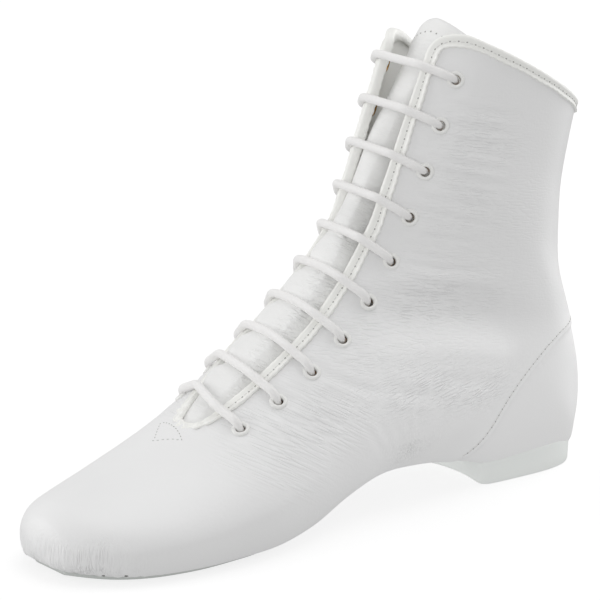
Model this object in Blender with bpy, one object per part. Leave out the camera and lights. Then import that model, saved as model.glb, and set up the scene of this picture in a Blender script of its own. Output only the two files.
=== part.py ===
# White leather jazz boot, right foot: lace-up ankle boot with a split sole and a low heel.
# The frame has +X to the toe, +Y to the boot's left (inner) side and +Z up, with the floor at z = 0.

import bpy
import bmesh
import numpy as np

MM = 0.001

# Driving dimensions
LENGTH = 251 * MM           # toe tip to back of heel
BALL_WIDTH = 83 * MM        # across the joints of the toes
INSTEP_HEIGHT = 74.5 * MM   # floor to the top of the instep, at section 9
COLLAR_HEIGHT = 180 * MM    # floor to the front of the collar, at the last section
HEEL_HEIGHT = 8.2 * MM      # at the breast
WEDGE = 1.2 * MM            # the heel is thinner at its back by this much
SOLE = 2 * MM               # front half of the split sole
WALL = 1.8 * MM             # leather and lining
GAP = 0.3 * MM              # between pieces that touch

# The upper's underside, off the floor
TREAD = SOLE + GAP
SEAT = HEEL_HEIGHT + GAP
ARCH = 14.7 * MM

# Sections of the last. Each one is a plane across the boot, from a point on the front ridge to a
# point on the underside or the back. They start at the toe tip and turn with the ankle.
# Columns: ridge x in % of length, ridge height in % of the instep or collar height, low x in % of
# length, low z, then in % of ball width the half widths, the half widths of the flat underside and
# the shift of the middle, all left and right, and last where the section is widest (0 ridge, 1 low)
# and its roundness above and below that place.
RIDGE_X, RIDGE_Z, LOW_X, LOW_Z, LEFT, RIGHT, FLAT_L, FLAT_R, MID, WIDEST, ROUND_T, ROUND_B = range(12)
SECTIONS = (
    (100.4, 14.1, 100.4, 10.5 * MM, 0.0, 0.0, 0.0, 0.0, 8.0, 0.55, 2.00, 2.0),      # 0 toe tip
    (99.4, 26.2, 99.6, TREAD + 2.4 * MM, 15.1, 15.1, 8.4, 9.0, 8.0, 0.60, 2.00, 2.2),
    (96.6, 32.8, 96.8, TREAD + 1.2 * MM, 27.1, 27.1, 19.9, 19.3, 8.0, 0.62, 2.00, 2.3),
    (91.8, 35.8, 92.2, TREAD + 0.2 * MM, 38.0, 36.7, 31.3, 30.1, 7.5, 0.62, 1.95, 2.4),
    (85.3, 40.6, 86.1, TREAD, 46.4, 43.4, 39.8, 37.3, 6.0, 0.62, 1.90, 2.4),
    (78.5, 49.0, 78.5, TREAD, 51.2, 47.6, 44.0, 41.0, 4.2, 0.62, 1.80, 2.4),        # 5 ball
    (71.7, 60.4, 70.1, TREAD, 53.4, 48.8, 43.8, 41.6, 2.4, 0.62, 1.75, 2.3),
    (65.2, 74.5, 61.0, 4.3 * MM, 51.0, 48.2, 38.0, 39.8, 1.2, 0.62, 1.80, 2.2),
    (59.4, 87.9, 51.8, 9.8 * MM, 45.8, 47.0, 30.1, 34.9, 0.0, 0.60, 1.85, 2.1),
    (54.5, 100.0, 42.2, ARCH, 42.2, 45.8, 25.3, 31.3, 0.0, 0.58, 1.90, 2.1),        # 9 instep
    (50.8, 46.4, 32.7, ARCH - 1.8 * MM, 41.0, 44.6, 24.7, 28.9, 0.0, 0.56, 2.00, 2.1),
    (47.8, 51.4, 22.3, SEAT, 40.4, 43.4, 27.1, 28.3, 0.0, 0.55, 2.00, 2.2),         # 11 heel breast
    (45.2, 56.7, 10.0, SEAT - WEDGE / 2, 40.4, 42.2, 25.3, 25.9, 0.0, 0.54, 2.00, 2.2),
    (43.0, 61.4, 1.6, SEAT + 0.8 * MM, 40.4, 41.6, 16.9, 16.9, 0.0, 0.54, 2.00, 2.1),
    (41.4, 66.1, 0.0, 30.0 * MM, 40.4, 41.0, 10.8, 10.8, 0.0, 0.53, 2.00, 2.0),     # 14 heel back
    (39.6, 71.4, 2.4, 55.0 * MM, 40.4, 40.4, 9.6, 9.6, 0.0, 0.53, 2.00, 2.0),
    (37.4, 78.3, 5.6, 81.0 * MM, 40.4, 40.4, 8.4, 8.4, 0.0, 0.52, 2.00, 2.0),       # 16 ankle
    (35.1, 85.8, 5.5, 105.0 * MM, 39.8, 39.8, 8.4, 8.4, 0.0, 0.52, 2.00, 2.0),
    (32.9, 93.3, 4.1, 125.0 * MM, 39.8, 39.8, 8.4, 8.4, 0.0, 0.52, 2.00, 2.0),
    (31.0, 99.4, 2.5, 140.8 * MM, 39.8, 39.8, 8.4, 8.4, 0.0, 0.52, 2.00, 2.0),     # 19 collar
)
INSTEP = 9
COLLAR = len(SECTIONS) - 1

# Throat: section number, half gap left and right. It is shut in front of the first row.
THROAT = (
    (5.70, 0.0 * MM, 0.0 * MM),
    (5.80, 6.0 * MM, 5.5 * MM),
    (6.05, 8.0 * MM, 7.5 * MM),
    (7.00, 11.5 * MM, 13.0 * MM),
    (8.00, 12.5 * MM, 17.0 * MM),
    (9.00, 12.3 * MM, 18.5 * MM),
    (10.0, 12.0 * MM, 18.0 * MM),
    (12.0, 11.3 * MM, 14.5 * MM),
    (14.0, 11.1 * MM, 12.3 * MM),
    (16.0, 11.5 * MM, 12.0 * MM),
    (18.3, 12.3 * MM, 12.8 * MM),
    (18.6, 13.8 * MM, 15.0 * MM),
    (18.85, 17.5 * MM, 19.0 * MM),
    (19.0, 22.0 * MM, 24.5 * MM),
)
THROAT_BASE = THROAT[0][0]

# Underside openings, which the front sole and the heel close, as section numbers
SOLE_OPENING = (2.0, 6.6)
HEEL_OPENING = (11.0, 12.4)

# Counter: the step down to it, and the quarter's cut edge in side view, x and z from the back down
# to the heel breast
COUNTER_STEP = 0.7 * MM
COUNTER_REACH = (9.6, 15.6)     # sections that the step touches
COUNTER_OVER = 3 * MM           # how far its cutter stands over the upper
COUNTER_BACK = -30 * MM         # and reaches behind the boot
COUNTER_EDGE = (
    (-8 * MM, 57.5 * MM),
    (27 * MM, 55 * MM),
    (41 * MM, 47.5 * MM),
    (56 * MM, 31 * MM),
    (65 * MM, 18.5 * MM),
    (72 * MM, SEAT + COUNTER_STEP + GAP),
)

# Eyelets and lace
EYELET_ROWS = 10
EYELET_ENDS = {1: (6.28, 17.75), -1: (6.62, 17.85)}    # sections of the lowest and highest, by side
EYELET_INSET = 13 * MM      # from the throat edge
EYELET_RIM = 0.4 * MM       # underside of the rim over the upper
EYELET_CROWN = 0.45 * MM    # thickness of the rim at its bore
EYELET_EDGE = 0.25 * MM     # and at its outside
EYELET_FOOT = 0.45 * MM     # barrel past the wall
EYELET_SIDES = 8
PUNCH_OUT, PUNCH_IN = 3 * MM, -5 * MM
EYELET_RADIUS = 3.4 * MM
EYELET_BORE = 2.1 * MM
BARREL = 2.35 * MM
LACE_RADIUS = 1.75 * MM
LACE_OVER = 3.2 * MM        # lace axis over the upper
LACE_UNDER = 4.5 * MM       # lace axis under the upper's outer face
LACE_BEND = 2.3 * MM
LACE_LIFT = 1.0 * MM        # a bar's lowest side over the tongue
OVER_STEPS = 4              # points of a bar between the flaps' edges
LACE_ASIDE = 3.9 * MM       # an inside run passes the next eyelet's strand at this distance

# Binding: a folded tape around the throat edge and the collar
TAPE = 0.6 * MM
TAPE_WIDTH = 4 * MM
TAPE_NOSE = 0.6 * MM        # the fold is narrower than the edge by a chamfer of this size
TAPE_SAG = 0.6 * MM         # the inner leg follows the curve of the wall

# Tongue: section number, recess from the ridge, extra depth under the flaps, half widths, middle.
# It swells over the instep, where the recess is less than nothing, and falls back in the shaft.
TONGUE = (
    (5.10, 2.6 * MM, 2.0 * MM, 10 * MM, 10 * MM, 0.0 * MM),
    (5.70, 2.8 * MM, 4.0 * MM, 13 * MM, 13 * MM, 0.0 * MM),
    (6.20, 1.5 * MM, 8.0 * MM, 17 * MM, 17 * MM, 0.0 * MM),
    (7.00, -0.6 * MM, 10.5 * MM, 20 * MM, 21 * MM, 0.0 * MM),
    (8.00, -1.2 * MM, 11.5 * MM, 22 * MM, 25 * MM, 0.0 * MM),
    (9.00, -1.2 * MM, 11.5 * MM, 23 * MM, 27 * MM, 0.0 * MM),
    (10.0, -0.8 * MM, 11.5 * MM, 23 * MM, 27 * MM, 0.0 * MM),
    (12.0, 1.0 * MM, 13.0 * MM, 22 * MM, 23 * MM, 0.5 * MM),
    (14.0, 2.5 * MM, 13.0 * MM, 22 * MM, 22 * MM, 1.0 * MM),
    (16.0, 4.5 * MM, 9.5 * MM, 22 * MM, 23 * MM, 1.5 * MM),
    (18.0, 10.0 * MM, 5.0 * MM, 21 * MM, 24 * MM, 2.0 * MM),
    (19.5, 15.0 * MM, 3.0 * MM, 20 * MM, 20 * MM, 2.0 * MM),
)
TONGUE_PEAK = -0.2          # place of the top edge's crest, from -1 at the right to 1 at the left
TONGUE_FALL = 0.42          # sections by which the top edge falls, one half width from its crest
TONGUE_THICKNESS = 1.8 * MM
TONGUE_SHOULDER = (-7 * MM, 5 * MM)     # the extra depth starts and ends here, past the throat edge

# Insole, front sole and heel
INSOLE = 2 * MM
INSOLE_LIFT = 0.5 * MM      # off the turned-in margin
INSOLE_ENDS = (1.4, 12.6)
INSOLE_INSET = 1 * MM
SOLE_ENDS = (1.3, 7.3)
SOLE_INSET = 2.5 * MM       # in from the edge of the flat underside
SOLE_TAIL = 1.6             # sections over which the sole's back end is rounded
SOLE_END = 0.985            # where the rounding is cut off, as a part of the tail
HEEL_BACK = 1.8 * MM
HEEL_WAIST = 36 * MM        # x where the heel is widest
HEEL_FRONT = 62 * MM
HEEL_WIDTH = 53 * MM
HEEL_LEVELS = ((0.0, 0.96), (0.8 * MM, 0.985), (HEEL_HEIGHT, 1.0))     # height, size of the outline
HEEL_ROUND = 2.4            # squareness of its round back
BREAST_WIDTH = 0.97         # of the heel's width
BREAST_HOLLOW = 5 * MM

# Grid: steps above the widest place, below it and on the flat underside
TOP_STEPS, SIDE_STEPS, FLAT_STEPS = 6, 5, 2
TOE_ROWS, TOE_CROWDING = 12, 1.25
ANKLE_ROWS, ANKLE_ENDS = 19, (6.6, 17.8)
TONGUE_ROWS, TONGUE_COLUMNS = 23, 9
FLAT_OPEN = 1               # flat steps each side of the middle that an opening takes
FINE = 8                    # finer steps, for normals and for distances along a section
NUDGE = 0.02                # of a section, for normals
FORWARD = (1.0, 0.0, 0.0)
SHARP = np.radians(50)      # edges sharper than this are not shaded smooth

# Finishes: colour, roughness, metallic
FINISHES = {
    "upper": ((0.80, 0.80, 0.79), 0.45, 0.0),
    "tongue": ((0.77, 0.77, 0.76), 0.5, 0.0),
    "edge_binding": ((0.82, 0.82, 0.80), 0.45, 0.0),
    "insole": ((0.62, 0.58, 0.50), 0.8, 0.0),
    "front_sole": ((0.60, 0.62, 0.60), 0.7, 0.0),
    "heel": ((0.68, 0.71, 0.69), 0.55, 0.0),
    "eyelet": ((0.82, 0.82, 0.80), 0.35, 0.2),
    "lace": ((0.86, 0.86, 0.85), 0.75, 0.0),
}


def section_table():
    """The sections in metres, one row each."""
    rows = np.array(SECTIONS)
    rows[:, [RIDGE_X, LOW_X]] *= LENGTH / 100
    rows[:INSTEP + 1, RIDGE_Z] *= INSTEP_HEIGHT / 100
    rows[INSTEP + 1:, RIDGE_Z] *= COLLAR_HEIGHT / 100
    rows[:, [LEFT, RIGHT, FLAT_L, FLAT_R, MID]] *= BALL_WIDTH / 100
    rows[0, LOW_Z] = rows[0, RIDGE_Z]
    return rows


def slopes(rows):
    """Slope at each inner row, flat at a turning point, so that the curve never overshoots."""
    step = np.diff(rows, axis=0)
    before, after = step[:-1], step[1:]
    same = before * after > 0
    total = np.where(same, before + after, 1.0)
    return np.where(same, 2 * before * after / total, 0.0)


def extended_table():
    """The table with one row more at each end: mirrored through the toe tip, straight at the collar."""
    rows = section_table()
    mirrored = rows[1].copy()
    mirrored[[RIDGE_X, RIDGE_Z, LOW_X, LOW_Z]] = rows[1, [LOW_X, LOW_Z, RIDGE_X, RIDGE_Z]]
    mirrored[[LEFT, RIGHT, FLAT_L, FLAT_R]] *= -1
    return np.vstack([mirrored, rows, 2 * rows[-1] - rows[-2]])


ROWS = extended_table()
SLOPES = slopes(ROWS)


def section(s):
    """The section at number s, a cubic between two rows; straight on past the collar."""
    if s > COLLAR:
        return ROWS[-2] + (s - COLLAR) * SLOPES[-1]
    i = min(int(s), COLLAR - 1)
    t = s - i
    start, end = ROWS[i + 1], ROWS[i + 2]
    return (start * (1 + 2 * t) * (1 - t) ** 2 + SLOPES[i] * t * (1 - t) ** 2
            + end * t * t * (3 - 2 * t) + SLOPES[i + 1] * t * t * (t - 1))


def half_gap(s, side):
    """Half the throat's width at section s; side is 1 for the left and -1 for the right."""
    rows = np.array(THROAT)
    return np.interp(s, rows[:, 0], rows[:, 1 if side > 0 else 2])


def half_section(s, side, gap, fine=1):
    """Points of half a section, from the throat edge down the side to the middle of the underside."""
    top, low, flat = TOP_STEPS * fine, SIDE_STEPS * fine, FLAT_STEPS * fine
    row = section(s)
    width = row[LEFT if side > 0 else RIGHT]
    flat_width = row[FLAT_L if side > 0 else FLAT_R]
    above, below = 2 / row[ROUND_T], 2 / row[ROUND_B]
    start = np.arcsin((gap / width) ** (1 / above)) if gap > 0 else 0.0
    a = np.linspace(start, np.pi / 2, top + 1)
    b = np.linspace(0, np.pi / 2, low + 1)[1:]
    down = np.concatenate([row[WIDEST] * (1 - np.cos(a) ** above),
                           row[WIDEST] + (1 - row[WIDEST]) * np.sin(b) ** below,
                           np.ones(flat)])
    across = np.concatenate([width * np.sin(a) ** above,
                             flat_width + (width - flat_width) * np.cos(b) ** below,
                             flat_width * np.linspace(1, 0, flat + 1)[1:]])
    return np.stack([row[RIDGE_X] + down * (row[LOW_X] - row[RIDGE_X]),
                     row[MID] + side * across,
                     row[RIDGE_Z] + down * (row[LOW_Z] - row[RIDGE_Z])], axis=1)


def unit(vectors):
    return vectors / np.linalg.norm(vectors, axis=-1, keepdims=True)


def place_on_flap(s, side, inset):
    """Point, normal and direction towards the throat edge, at a distance from that edge."""
    def point(number):
        line = half_section(number, side, half_gap(number, side), FINE)
        run = np.concatenate([[0], np.cumsum(np.linalg.norm(np.diff(line, axis=0), axis=1))])
        return np.array([[np.interp(inset + d, run, line[:, k]) for k in range(3)] for d in (0, 1 * MM)])
    here, ahead = point(s), point(s + NUDGE)
    inward = unit(here[1] - here[0])
    normal = unit(np.cross(inward, ahead[0] - here[0])) * side
    return here[0], normal, -inward


def shell_stations():
    """Section numbers of the grid: close at the toe tip, the throat base and the flaps' corners."""
    toe = THROAT_BASE * np.linspace(0, 1, TOE_ROWS) ** TOE_CROWDING
    base = [row[0] for row in THROAT[1:3]]
    ankle = np.linspace(*ANKLE_ENDS, ANKLE_ROWS)
    corner = [row[0] for row in THROAT[-4:]]
    return np.concatenate([toe, base, ankle, corner])


def section_ring(s, gaps):
    """A whole section in fine steps, from the left throat edge round to the right one."""
    left = half_section(s, 1, gaps[0], FINE)
    right = half_section(s, -1, gaps[1], FINE)
    return np.vstack([left, right[-2::-1]])


def shell_grid(stations):
    """Outer face of the upper, one row per station, and its outward normals."""
    points, normals = [], []
    for s in stations:
        gaps = half_gap(s, 1), half_gap(s, -1)
        ring = section_ring(s, gaps)
        along = section_ring(s + NUDGE, gaps) - section_ring(max(s - NUDGE, 0), gaps)
        round_it = np.gradient(ring, axis=0)
        normal = np.cross(round_it, along)[::FINE]
        if s == 0:
            normal[:] = FORWARD
        points.append(ring[::FINE])
        normals.append(unit(normal))
    return np.array(points), np.array(normals)


def weld(stations, columns):
    """Vertex number of each grid place: one at the toe tip, shared along the shut ridge."""
    index = np.arange(len(stations) * columns).reshape(len(stations), columns)
    shut = stations <= THROAT_BASE
    index[shut, -1] = index[shut, 0]
    if stations[0] == 0:
        index[0] = 0
    return index


def quads(index, keep):
    """Faces of a grid, without those that a mask leaves out."""
    faces = []
    for i, j in np.argwhere(keep):
        corners = [index[i, j], index[i, j + 1], index[i + 1, j + 1], index[i + 1, j]]
        faces.append(list(dict.fromkeys(int(c) for c in corners)))
    return faces


def thick_sheet(outer, inner, faces):
    """Closed solid between two faces of the same grid, with walls along every open edge."""
    count = len(outer)
    edges = {(f[k - 1], f[k]) for f in faces for k in range(len(f))}
    rim = sorted(edge for edge in edges if edge[::-1] not in edges)
    solid = list(faces)
    solid += [[v + count for v in reversed(face)] for face in faces]
    solid += [[b, a, a + count, b + count] for a, b in rim]
    return np.vstack([outer, inner]), solid


def material(name):
    colour, roughness, metallic = FINISHES[name]
    finish = bpy.data.materials.get(name) or bpy.data.materials.new(name)
    finish.use_nodes = True
    shader = finish.node_tree.nodes["Principled BSDF"]
    shader.inputs["Base Color"].default_value = (*colour, 1)
    shader.inputs["Roughness"].default_value = roughness
    shader.inputs["Metallic"].default_value = metallic
    return finish


def add_mesh(name, points, faces, finish=None):
    """A named object from points and faces, with its faces turned out and loose points dropped."""
    mesh = bpy.data.meshes.new(name)
    mesh.from_pydata([tuple(p) for p in points], [], faces)
    bm = bmesh.new()
    bm.from_mesh(mesh)
    bmesh.ops.delete(bm, geom=[v for v in bm.verts if not v.link_faces], context="VERTS")
    bmesh.ops.recalc_face_normals(bm, faces=bm.faces)
    bm.to_mesh(mesh)
    bm.free()
    mesh.shade_smooth()
    mesh.set_sharp_from_angle(angle=SHARP)
    part = bpy.data.objects.new(name, mesh)
    bpy.context.collection.objects.link(part)
    part.parent = root
    if finish:
        mesh.materials.append(material(finish))
    else:
        part.hide_render = True
        part.display_type = "WIRE"
    return part


def cut(part, cutter, operation="DIFFERENCE"):
    boolean = part.modifiers.new(cutter.name, "BOOLEAN")
    boolean.operation = operation
    boolean.object = cutter
    boolean.solver = "EXACT"


def make_upper():
    """Hollow leather shell, open at throat, collar and underside."""
    stations = shell_stations()
    grid, normals = shell_grid(stations)
    columns = grid.shape[1]
    index = weld(stations, columns)
    keep = np.ones((len(stations) - 1, columns - 1), bool)
    middle = columns // 2
    starts, ends = stations[:-1], stations[1:]
    for first, last in (SOLE_OPENING, HEEL_OPENING):
        inside = (starts >= first) & (ends <= last)
        keep[inside, middle - FLAT_OPEN:middle + FLAT_OPEN] = False
    outer = grid.reshape(-1, 3)
    inner = (grid - WALL * normals).reshape(-1, 3)
    upper = add_mesh("upper", *thick_sheet(outer, inner, quads(index, keep)), "upper")
    cut(upper, counter_cutter())
    cut(upper, eyelet_cutter())
    return upper


def counter_cutter():
    """What the step down to the counter takes away: a skin of the upper behind the quarter's edge."""
    stations = np.linspace(*COUNTER_REACH, 16)
    grid, normals = shell_grid(stations)
    index = weld(stations, grid.shape[1])
    keep = np.ones((len(stations) - 1, grid.shape[1] - 1), bool)
    outside = (grid + COUNTER_OVER * normals).reshape(-1, 3)
    below = (grid - COUNTER_STEP * normals).reshape(-1, 3)
    skin = add_mesh("counter_skin", *thick_sheet(outside, below, quads(index, keep)))
    edge = np.array(COUNTER_EDGE)
    outline = np.vstack([edge, [(COUNTER_BACK, edge[-1, 1]), (COUNTER_BACK, edge[0, 1])]])
    faces = [list(range(len(outline)))]
    left, right = (np.insert(outline, 1, y, axis=1) for y in (BALL_WIDTH, -BALL_WIDTH))
    block = add_mesh("counter_block", *thick_sheet(left, right, faces))
    cut(skin, block, "INTERSECT")
    return skin


def eyelet_sections(side):
    """Section number of each eyelet from the top down, evenly spaced along one flap."""
    numbers = np.linspace(*EYELET_ENDS[side], 120)
    line = np.array([place_on_flap(s, side, EYELET_INSET)[0] for s in numbers])
    run = np.concatenate([[0], np.cumsum(np.linalg.norm(np.diff(line, axis=0), axis=1))])
    return np.interp(np.linspace(0, run[-1], EYELET_ROWS), run, numbers)[::-1]


def turned(profile, sides, centre, normal):
    """A profile of (radius, height) turned about an axis, as points and faces."""
    turn = np.linspace(0, 2 * np.pi, sides, endpoint=False)
    first = unit(np.cross(normal, FORWARD))
    second = np.cross(normal, first)
    ring = np.cos(turn)[:, None] * first + np.sin(turn)[:, None] * second
    points = [centre + r * spoke + h * normal for spoke in ring for r, h in profile]
    count = len(profile)
    faces = []
    for i in range(sides):
        here, there = i * count, (i + 1) % sides * count
        faces += [[here + k - 1, here + k, there + k, there + k - 1] for k in range(1, count)]
        faces.append([here + count - 1, here, there, there + count - 1])
    return np.array(points), faces


def eyelet_cutter():
    """Twenty round punches through the flaps."""
    points, faces = [], []
    profile = ((BARREL + GAP, PUNCH_OUT), (BARREL + GAP, PUNCH_IN))
    for side in (1, -1):
        for s in eyelet_sections(side):
            centre, normal, _ = place_on_flap(s, side, EYELET_INSET)
            ring, _ = turned(profile, EYELET_SIDES, centre, normal)
            top = [len(points) + 2 * i for i in range(EYELET_SIDES)]
            low = [v + 1 for v in top]
            points.extend(ring)
            faces += [top, low[::-1]]
            faces += [[low[i - 1], low[i], top[i], top[i - 1]] for i in range(EYELET_SIDES)]
    return add_mesh("eyelet_punches", points, faces)


def make_eyelets():
    """A pressed ring with its barrel in every punched hole."""
    rim, foot = EYELET_RIM, -WALL - EYELET_FOOT
    profile = ((EYELET_BORE, rim + EYELET_CROWN), (EYELET_RADIUS, rim + EYELET_EDGE), (EYELET_RADIUS, rim),
               (BARREL, rim), (BARREL, foot), (EYELET_BORE, foot))
    for side, label in ((1, "left"), (-1, "right")):
        for row, s in enumerate(eyelet_sections(side), start=1):
            centre, normal, _ = place_on_flap(s, side, EYELET_INSET)
            ring = turned(profile, EYELET_SIDES, centre, normal)
            add_mesh(f"eyelet_{label}_{row:02d}", *ring, "eyelet")


def make_binding():
    """Folded tape around the edge: up the left throat edge, round the collar and down the right."""
    stations = shell_stations()
    grid, normals = shell_grid(stations)
    open_rows = np.flatnonzero(stations > THROAT[1][0])
    path = np.vstack([grid[open_rows, 0], grid[-1, 1:-1], grid[open_rows[::-1], -1]])
    up = np.vstack([normals[open_rows, 0], normals[-1, 1:-1], normals[open_rows[::-1], -1]])
    ahead = unit(np.gradient(path, axis=0))
    inward = unit(np.cross(ahead, up))
    over, under = GAP, -WALL - GAP
    profile = ((TAPE_WIDTH, over), (TAPE_WIDTH, over + TAPE), (-TAPE_NOSE, over + TAPE),
               (-GAP - TAPE, -WALL / 2), (-TAPE_NOSE, under - TAPE),
               (TAPE_WIDTH, under - TAPE - TAPE_SAG), (TAPE_WIDTH, under - TAPE_SAG),
               (-GAP, under), (-GAP, over))
    rings = np.array([path + b * inward + n * up for b, n in profile]).transpose(1, 0, 2)
    count = len(profile)
    index = np.arange(rings.shape[0] * count).reshape(-1, count)
    faces = [list(index[0]), list(index[-1][::-1])]
    for here, there in zip(index[:-1], index[1:]):
        faces += [[here[k - 1], here[k], there[k], there[k - 1]] for k in range(count)]
    faces = [[int(v) for v in face] for face in faces]
    add_mesh("edge_binding", rings.reshape(-1, 3), faces, "edge_binding")


def tongue_row(s):
    """Recess, extra depth, half widths and middle of the tongue at section s."""
    rows = np.array(TONGUE)
    return [np.interp(s, rows[:, 0], rows[:, k]) for k in range(1, rows.shape[1])]


def tongue_surface(s, across):
    """Outer face of the tongue at section s: the section's own curve, moved in or out of the boot."""
    row = section(s)
    recess, dip = tongue_row(s)[:2]
    ratio = np.abs(across) / np.where(across > 0, row[LEFT], row[RIGHT])
    curve = row[WIDEST] * (1 - (1 - ratio ** row[ROUND_T]) ** (1 / row[ROUND_T]))
    edge = np.where(across > 0, half_gap(s, 1), half_gap(s, -1))
    start, end = TONGUE_SHOULDER
    t = np.clip((np.abs(across) - edge - start) / (end - start), 0, 1)
    back = np.array([row[LOW_X] - row[RIDGE_X], row[LOW_Z] - row[RIDGE_Z]])
    depth = curve * np.linalg.norm(back) + recess + dip * t * t * (3 - 2 * t)
    back = unit(back)
    return np.stack([row[RIDGE_X] + depth * back[0], row[MID] + across,
                     row[RIDGE_Z] + depth * back[1]], axis=1)


def tongue_points(s, columns):
    left, right, middle = tongue_row(s)[2:]
    return tongue_surface(s, middle + np.linspace(-right, left, columns))


def make_tongue():
    """Leather tongue, caught under the vamp and standing out of the collar with a rounded top."""
    rows, columns = TONGUE_ROWS, TONGUE_COLUMNS
    first, last = TONGUE[0][0], TONGUE[-1][0]
    top = last - TONGUE_FALL * (np.linspace(-1, 1, columns) - TONGUE_PEAK) ** 2
    grid = np.zeros((rows, columns, 3))
    for i, part in enumerate(np.linspace(0, 1, rows)):
        for j in range(columns):
            grid[i, j] = tongue_points(first + (top[j] - first) * part, columns)[j]
    normals = unit(np.cross(np.gradient(grid, axis=1), np.gradient(grid, axis=0)))
    index = np.arange(rows * columns).reshape(rows, columns)
    keep = np.ones((rows - 1, columns - 1), bool)
    inner = (grid - TONGUE_THICKNESS * normals).reshape(-1, 3)
    add_mesh("tongue", *thick_sheet(grid.reshape(-1, 3), inner, quads(index, keep)), "tongue")


def underside(stations):
    """Points along the middle of the upper's underside and the direction up from it."""
    points = np.array([section(s)[[LOW_X, LOW_Z]] for s in stations])
    ahead = unit(np.gradient(points, axis=0))
    return points, np.stack([ahead[:, 1], -ahead[:, 0]], axis=1)


def make_strip(name, stations, half_widths, low, high, columns=7):
    """A flexible layer along the underside, between two distances from it."""
    points, up = underside(stations)
    across = np.linspace(-1, 1, columns)
    middle = np.array([section(s)[MID] for s in stations])
    reach = np.where(across[None] > 0, half_widths[:, :1], half_widths[:, 1:]) * across + middle[:, None]
    faces = []
    for distance in (high, low):
        line = points + distance * up
        faces.append(np.stack([np.repeat(line[:, :1], columns, 1), reach,
                               np.repeat(line[:, 1:], columns, 1)], axis=2).reshape(-1, 3))
    index = np.arange(reach.size).reshape(reach.shape)
    keep = np.ones((len(stations) - 1, columns - 1), bool)
    add_mesh(name, *thick_sheet(*faces, quads(index, keep)), name)


def make_insole():
    """Inner sole on the upper's turned-in margin, from toe to heel."""
    stations = np.linspace(*INSOLE_ENDS, 22)
    flats = np.array([section(s)[[FLAT_L, FLAT_R]] for s in stations]) - INSOLE_INSET
    low = WALL + INSOLE_LIFT
    make_strip("insole", stations, flats, low, low + INSOLE, columns=5)


def make_front_sole():
    """Thin sole under toes and ball, with toe spring and a rounded back end."""
    first, last = SOLE_ENDS
    stations = np.concatenate([first + (last - SOLE_TAIL - first) * np.linspace(0, 1, 12) ** 1.2,
                               last - SOLE_TAIL * np.cos(np.linspace(0, np.pi / 2, 8))[1:]])
    flats = np.array([section(s)[[FLAT_L, FLAT_R]] for s in stations]) - SOLE_INSET
    tail = np.clip((stations - last + SOLE_TAIL) / SOLE_TAIL, 0, SOLE_END)
    flats *= np.sqrt(1 - tail ** 2)[:, None]
    make_strip("front_sole", stations, flats, -GAP - SOLE, -GAP)


def make_heel():
    """Low rubber block: straight sides, round back, hollow breast, a little narrower at the floor."""
    turn = np.linspace(0, np.pi / 2, 8)
    round_back = 2 / HEEL_ROUND
    back_x = HEEL_WAIST - (HEEL_WAIST - HEEL_BACK) * np.cos(turn) ** round_back
    back_y = HEEL_WIDTH / 2 * np.sin(turn) ** round_back
    breast_y = HEEL_WIDTH / 2 * np.linspace(BREAST_WIDTH, -BREAST_WIDTH, 9)
    breast_x = HEEL_FRONT - BREAST_HOLLOW * (1 - (breast_y / breast_y[0]) ** 2)
    outline = np.vstack([np.stack([back_x, back_y], 1), np.stack([breast_x, breast_y], 1),
                         np.stack([back_x, -back_y], 1)[:0:-1]])
    centre = np.array([(HEEL_BACK + HEEL_FRONT) / 2, 0])
    rings = []
    for z, scale in HEEL_LEVELS:
        rings.append(np.insert(centre + (outline - centre) * scale, 2, z, axis=1))
    rings[-1][:, 2] -= WEDGE * (HEEL_FRONT - rings[-1][:, 0]) / (HEEL_FRONT - HEEL_BACK)
    count = len(outline)
    faces = [list(range(count)), list(range(2 * count, 3 * count))]
    for level in (0, count):
        faces += [[level + k - 1, level + k, level + k + count, level + k - 1 + count]
                  for k in range(1, count)]
        faces.append([level + count - 1, level, level + count, level + 2 * count - 1])
    add_mesh("heel", np.vstack(rings), faces, "heel")


def bar_points(left, right):
    """One outer bar, out of the left eyelet, over flaps and tongue and down into the right one."""
    halves = []
    for side, s in ((1, left), (-1, right)):
        centre, normal, to_edge = place_on_flap(s, side, EYELET_INSET)
        rise = LACE_OVER - LACE_BEND
        half = [centre + (LACE_UNDER - LACE_BEND) * -normal]
        half += [centre + LACE_BEND * (1 - np.cos(t)) * to_edge + (rise + LACE_BEND * np.sin(t)) * normal
                 for t in np.radians((0, 40, 80))]
        for inset, past in ((EYELET_INSET / 2, 0), (0, GAP + TAPE)):
            point, out, to_edge = place_on_flap(s, side, inset)
            half.append(point + past * to_edge + LACE_OVER * out)
        halves.append(half)
    return halves[0] + over_tongue(halves[0][-1], halves[1][-1], left, right) + halves[1][::-1]


def over_tongue(start, end, left, right):
    """Points of a bar between the flaps' edges, lifted where the tongue stands in its way."""
    points = []
    for part in np.linspace(0, 1, OVER_STEPS + 2)[1:-1]:
        point = start + (end - start) * part
        row = section(left + (right - left) * part)
        outward = unit(np.array([row[RIDGE_X] - row[LOW_X], 0, row[RIDGE_Z] - row[LOW_Z]]))
        below = tongue_surface(left + (right - left) * part, np.array([point[1] - row[MID]]))[0]
        lift = (below - point) @ outward + LACE_RADIUS + LACE_LIFT
        points.append(point + max(lift, 0) * outward)
    return points


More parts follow.
